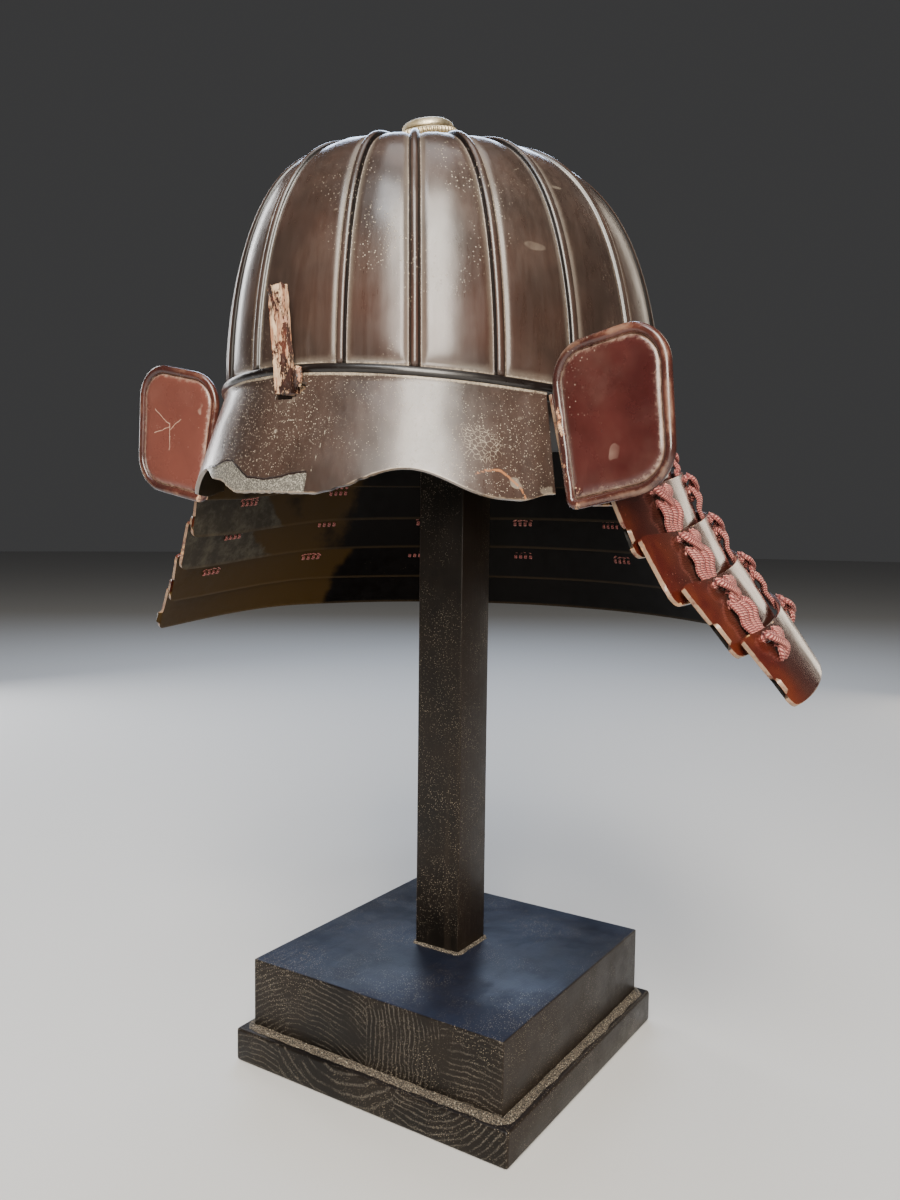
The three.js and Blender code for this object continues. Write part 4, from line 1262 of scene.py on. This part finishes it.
def wing_skin(side, profile):
    """Skin over a profile of rows: inset from the outline, share of the way on to the middle,
    height, and the marks crest and dust."""
    def place(i, j):
        inset, share, out, crest, dust = profile[j]
        edge, inward = WING_EDGE[i % WING_ROUND]
        spot = (edge + inward * inset).lerp(WING_MIDDLE, share)
        inner = smooth(-edge.x, 14, 20) * smooth(edge.y, -40, -33) * (1 - smooth(edge.y, 10, 22))
        chipped = inner * (0.66 if side > 0 else 0.25) * (1 - smooth(inset, 2.5, 6)) * (1 - share)
        broken_corner = (1 - smooth((edge - Vector((-15, -37))).length, 3, 9)) * (1 - share)
        uneven = 0.35 * noise.noise(Vector((spot.x * 0.07, spot.y * 0.07, side * 2.0)))
        ragged = -0.7 * chipped * (0.5 + noise.noise(Vector((spot.x * 0.5, spot.y * 0.35, 5.0))))
        out += (uneven if share > 0 or inset > 3 else 0.3 * uneven) + ragged
        return wing_point(side, spot.x, spot.y, out), crest, dust, max(chipped, broken_corner * 0.66)

    bm = laid(WING_ROUND, len(profile) - 1, place, marks=("crest", "dust", "chipped"))
    weld(bm)
    face_out(bm)
    return bm


def make_turnback(side, word, rim_finish, field_finish):
    """One turned-back end: a sheet with a rounded raised rim, and the sunk field inside it."""
    rim = [(0, 1.0, 0.1, 0, 0), (12, 0.3, 0.1, 0, 0), (1.4, 0, 0.05, 0, 0), (0.5, 0, 0.35, 0.2, 0),
           (0.05, 0, 1.1, 0.5, 0), (0, 0, 2.0, 0.75, 0), (0.25, 0, 2.7, 0.95, 0), (0.8, 0, 3.3, 1.0, 0),
           (1.6, 0, 3.65, 1.0, 0), (2.5, 0, 3.65, 0.9, 0), (3.3, 0, 3.3, 0.6, 0.1), (3.9, 0, 2.6, 0.3, 0.6),
           (4.2, 0, 1.8, 0, 1.0), (4.6, 0, 1.45, 0, 1.0), (4.6, 0.3, 1.2, 0, 0.2), (4.6, 1.0, 1.2, 0, 0)]
    piece(wing_skin(side, rim), f"turned_back_end_{word}", [rim_finish], ["neck_lame_1"])
    field = [(4.7, 1.0, 1.5, 0, 0), (4.7, 0.2, 1.5, 0, 0), (4.55, 0, 1.6, 0, 1.0), (4.5, 0, 1.8, 0, 1.0),
             (4.8, 0, 2.1, 0, 0.95), (5.3, 0, 2.45, 0, 0.8), (6.2, 0, 2.8, 0, 0.62), (7.5, 0, 3.0, 0, 0.4),
             (8.6, 0.02, 3.05, 0, 0.2), (8.6, 0.12, 3.0, 0, 0.05), (8.6, 0.25, 2.9, 0, 0),
             (8.6, 0.4, 2.75, 0, 0), (8.6, 0.6, 2.65, 0, 0), (8.6, 0.8, 2.6, 0, 0), (8.6, 1.0, 2.6, 0, 0)]
    piece(wing_skin(side, field), f"sunk_field_{word}", [field_finish],
          [f"turnback_panel_{word}"])


# ---------------------------------------------------------------- lacing
CORD_WIDE = 4.4
CORD_THICK = 2.2
CORD_PITCH = 1.1
CORDS_IN_BUNDLE = 4


def curve_through(points, steps):
    """Smooth line through points, with a few steps between each two."""
    found = []
    last = len(points) - 1
    for k in range(last):
        before = points[max(k - 1, 0)]
        a, b = points[k], points[k + 1]
        after = points[min(k + 2, last)]
        for step in range(steps):
            t = step / steps
            found.append(0.5 * ((2 * a) + (b - before) * t + (2 * before - 5 * a + 4 * b - after) * t * t
                                + (3 * a - before - 3 * b + after) * t ** 3))
    found.append(points[-1].copy())
    return found


def cord(stations, upward, wide=CORD_WIDE, thick=CORD_THICK, steps=3):
    """Braided flat cord swept along its stations, with its broad side facing upward."""
    line = curve_through(stations, steps)
    around = 10
    lengths = running_lengths(line)

    def place(i, j):
        ahead = (line[min(j + 1, len(line) - 1)] - line[max(j - 1, 0)]).normalized()
        side = ahead.cross(upward).normalized()
        up = side.cross(ahead)
        turn = (i % around) / around * 2 * math.pi
        flat = math.copysign(abs(math.cos(turn)) ** 0.8, math.cos(turn))
        return (line[j] + side * (wide / 2 * flat) + up * (thick / 2 * math.sin(turn)),)

    def measure(i, j):
        return (i / around, lengths[j] / CORD_PITCH)

    bm = laid(around, len(line) - 1, place, measure=measure)
    weld(bm)
    cap_ends(bm)
    return face_out(bm)


def gather(parts):
    """One mesh from several."""
    whole = bmesh.new()
    for part in parts:
        scrap = bpy.data.meshes.new("part")
        part.to_mesh(scrap)
        part.free()
        whole.from_mesh(scrap)
        bpy.data.meshes.remove(scrap)
    return whole


def laced(lame, degrees, across, down, out):
    """Point on a lame beside a column of lacing, in millimetres from its middle line."""
    share = down / lame_length(lame)
    a = lame_point(lame, degrees - 2, 0.5, 0)
    b = lame_point(lame, degrees + 2, 0.5, 0)
    return lame_point(lame, degrees, share, out) + (b - a).normalized() * across


def outward_at(lame, degrees):
    return (lame_point(lame, degrees, 0.5, 1) - lame_point(lame, degrees, 0.5, 0)).normalized()


def knot(lame, degrees, top, size=1.0):
    """Crossed pair of doubled cords over a slot, drawn together below it."""
    face = LAME_THICK
    out = outward_at(lame, degrees)
    made = []
    for side in (-1, 1):
        over = 1.5 if side > 0 else 0.0
        for lane in (0, 1):
            shift = lane * 3.3 * size
            wide = (7.6 - shift) * size
            jitter = random.uniform(-0.3, 0.3)
            spots = [
                (side * wide * 0.95, top + 1.2, face - 0.8),
                (side * wide, top - 0.6, face + 1.5),
                (side * (wide - 0.6), top + 1.6 + jitter, face + 2.6 + over * 0.5),
                (side * (wide * 0.45), top + 4.4 + jitter, face + 2.6 + over),
                (-side * (1.2 + 1.1 * lane) * size, top + 7.6 * size, face + 2.2 + over),
                (-side * (1.5 + 0.9 * lane) * size, top + 9.8 * size, face + 1.2 + over * 0.4),
                (-side * (0.8 + 0.6 * lane) * size, top + 11.0 * size, face - 0.4),
            ]
            path = [laced(lame, degrees, x, d, o) for x, d, o in spots]
            made.append(cord(path, out, wide=4.0 * size, thick=2.3 * size))
    middle = [(0.3, top + 0.4, face - 0.6), (0.2, top - 0.2, face + 1.6), (0.0, top + 2.2, face + 2.2),
              (0.1, top + 4.6, face + 1.0), (0.0, top + 5.6, face + 0.2)]
    path = [laced(lame, degrees, x, d, o) for x, d, o in middle]
    made.append(cord(path, out, wide=3.0, thick=1.8))
    return made


def bundle(upper, lower, degrees):
    """Parallel cords that hang one lame from the one above it."""
    long = lame_length(upper)
    face = LAME_THICK
    out = outward_at(upper, degrees)
    made = []
    for k in range(CORDS_IN_BUNDLE):
        across = (k - (CORDS_IN_BUNDLE - 1) / 2) * 4.7
        stray = random.uniform(-0.35, 0.35)
        arch = 2.6 + 0.5 * math.cos(k * 1.3) + random.uniform(-0.25, 0.25)
        spots = [
            laced(upper, degrees, across * 0.74, long - 20.4 + stray, face - 1.4),
            laced(upper, degrees, across * 0.86, long - 21.6 + stray, face + 0.9),
            laced(upper, degrees, across + stray, long - 19.8 + stray, face + arch),
            laced(upper, degrees, across + stray * 0.5, long - 15.6, face + arch + 0.9),
            laced(upper, degrees, across * 0.92, long - 12.0, face + arch - 0.4),
            laced(lower, degrees, across * 0.8, -0.9, -1.15),
            laced(lower, degrees, across * 0.72, 2.6, -1.2),
            laced(lower, degrees, across * 0.7, 4.4, -1.0),
            laced(lower, degrees, across * 0.68, 4.5, 0.9),
        ]
        made.append(cord(spots, out))
    return made


def stitches(lame, degrees, down):
    """Short ends of the cords crossing the lame's inner face."""
    out = outward_at(lame, degrees)
    made = []
    for k in range(CORDS_IN_BUNDLE):
        across = (k - (CORDS_IN_BUNDLE - 1) / 2) * 3.4
        spots = [laced(lame, degrees, across, down + run, height)
                 for run, height in ((-1.3, 0.3), (-0.7, -0.4), (0.7, -0.4), (1.3, 0.3))]
        made.append(cord(spots, out, wide=1.9, thick=0.9, steps=2))
    return made


def make_lacing(number, finish):
    degrees = LACES[number - 1]
    parts = knot(LAMES[0], degrees, lame_length(LAMES[0]) - 29.5, 0.85)
    for upper, lower in zip(LAMES, LAMES[1:]):
        parts += bundle(upper, lower, degrees)
        parts += knot(lower, degrees, SLOT_FROM + 0.4)
        parts += stitches(upper, degrees, lame_length(upper) - 18.5)
        parts += stitches(lower, degrees, 8.4)
    return piece(gather(parts), f"lacing_cords_{number}", [finish], [f"lacing_{number}"])


# ---------------------------------------------------------------- studio
HEART = Vector((0, 0, 0.33))
LAMPS = [
    ("key", 33, 27, 1.5, 0.52, 1.5, 66, (1.0, 0.93, 0.82)),
    ("high_window", 8, 52, 1.5, 0.35, 0.4, 7, (0.93, 0.97, 1.0)),
    ("left_strip", -104, 14, 1.3, 0.25, 1.0, 7, (1, 1, 1)),
    ("right_strip", 172, 12, 1.3, 0.22, 1.2, 2.4, (1.0, 0.88, 0.72)),
    ("back_sky", 216, 36, 1.9, 1.0, 0.6, 21, (0.62, 0.76, 1.0)),
    ("overhead", 20, 86, 1.7, 0.8, 0.8, 6, (1, 1, 1)),
]
CAMERA_AT = (0.2848, -0.4456, 0.2809)
CAMERA_TURN = 33.0 * RAD
CAMERA_FALL = 4.33
CAMERA_ROLL = 0.69 * RAD
LENS = 30.05


def softbox(name, around, height, away, wide, tall, power, tint):
    """Soft lamp aimed at the helmet: degrees round from the front towards +X, degrees up, metres away."""
    turn, rise = around * RAD, height * RAD
    spoke = Vector((math.sin(turn) * math.cos(rise), -math.cos(turn) * math.cos(rise), math.sin(rise)))
    data = bpy.data.lights.new(name, "AREA")
    data.shape = "RECTANGLE"
    data.size = wide
    data.size_y = tall
    data.energy = power
    data.color = tint
    lamp = bpy.data.objects.new(name, data)
    bpy.context.scene.collection.objects.link(lamp)
    lamp.location = HEART + spoke * away
    lamp.rotation_mode = "QUATERNION"
    lamp.rotation_quaternion = (-spoke).to_track_quat("-Z", "Y")
    lamp.visible_camera = False


def make_studio():
    bm = bmesh.new()
    bmesh.ops.create_circle(bm, cap_ends=True, segments=128, radius=9)
    mesh = bpy.data.meshes.new("floor")
    bm.to_mesh(mesh)
    bm.free()
    floor = bpy.data.objects.new("floor", mesh)
    bpy.context.scene.collection.objects.link(floor)
    f = Finish("pale_floor")
    mesh.materials.append(f.set(color=(0.60, 0.595, 0.585), rough=0.8))
    world = bpy.data.worlds.new("studio")
    world.use_nodes = True
    glow = world.node_tree.nodes["Background"].inputs
    glow["Color"].default_value = (0.60, 0.60, 0.61, 1)
    glow["Strength"].default_value = 0.08
    bpy.context.scene.world = world
    for lamp in LAMPS:
        softbox(*lamp)


def make_camera():
    data = bpy.data.cameras.new("camera")
    data.lens = LENS
    camera = bpy.data.objects.new("camera", data)
    bpy.context.scene.collection.objects.link(camera)
    camera.matrix_world = (Matrix.Translation(CAMERA_AT) @ Matrix.Rotation(CAMERA_TURN, 4, "Z")
                           @ Matrix.Rotation((90 - CAMERA_FALL) * RAD, 4, "X")
                           @ Matrix.Rotation(CAMERA_ROLL, 4, "Z"))
    bpy.context.scene.camera = camera


make_camera()
make_studio()

make_stand()
inner_skin = inside_lacquer("inner_lacquer")
make_bowl(brown_lacquer("bowl_lacquer", False))
make_ornament(gilt_copper("gilt_copper"))
make_peak(brown_lacquer("peak_lacquer", True), inner_skin)
make_crest_holder(chipped_wood("chipped_wood"))
guard_skin = guard_lacquer("guard_lacquer")
for number in range(1, 6):
    make_lame(number, guard_skin, inner_skin)
# The last number of each side is its field's share of painted light: the end at the wearer's right is painted
# lighter.
for side, word, painted_light_share in ((1, "left", 0.0), (-1, "right", 0.35)):
    strokes = BRANCHED_SCRATCH if side < 0 else []
    scratched = [[HELMET @ (wing_point(side, u, v, 2.7) * MM) for u, v in spots] for spots in strokes]
    field = maroon_lacquer(f"maroon_lacquer_{word}", painted_light_share, scratched)
    make_turnback(side, word, rim_lacquer(f"rim_lacquer_{word}"), field)
cord_silk = rose_cord("rose_cord")
for number in range(1, len(LACES) + 1):
    make_lacing(number, cord_silk)

bpy.context.view_layer.update()
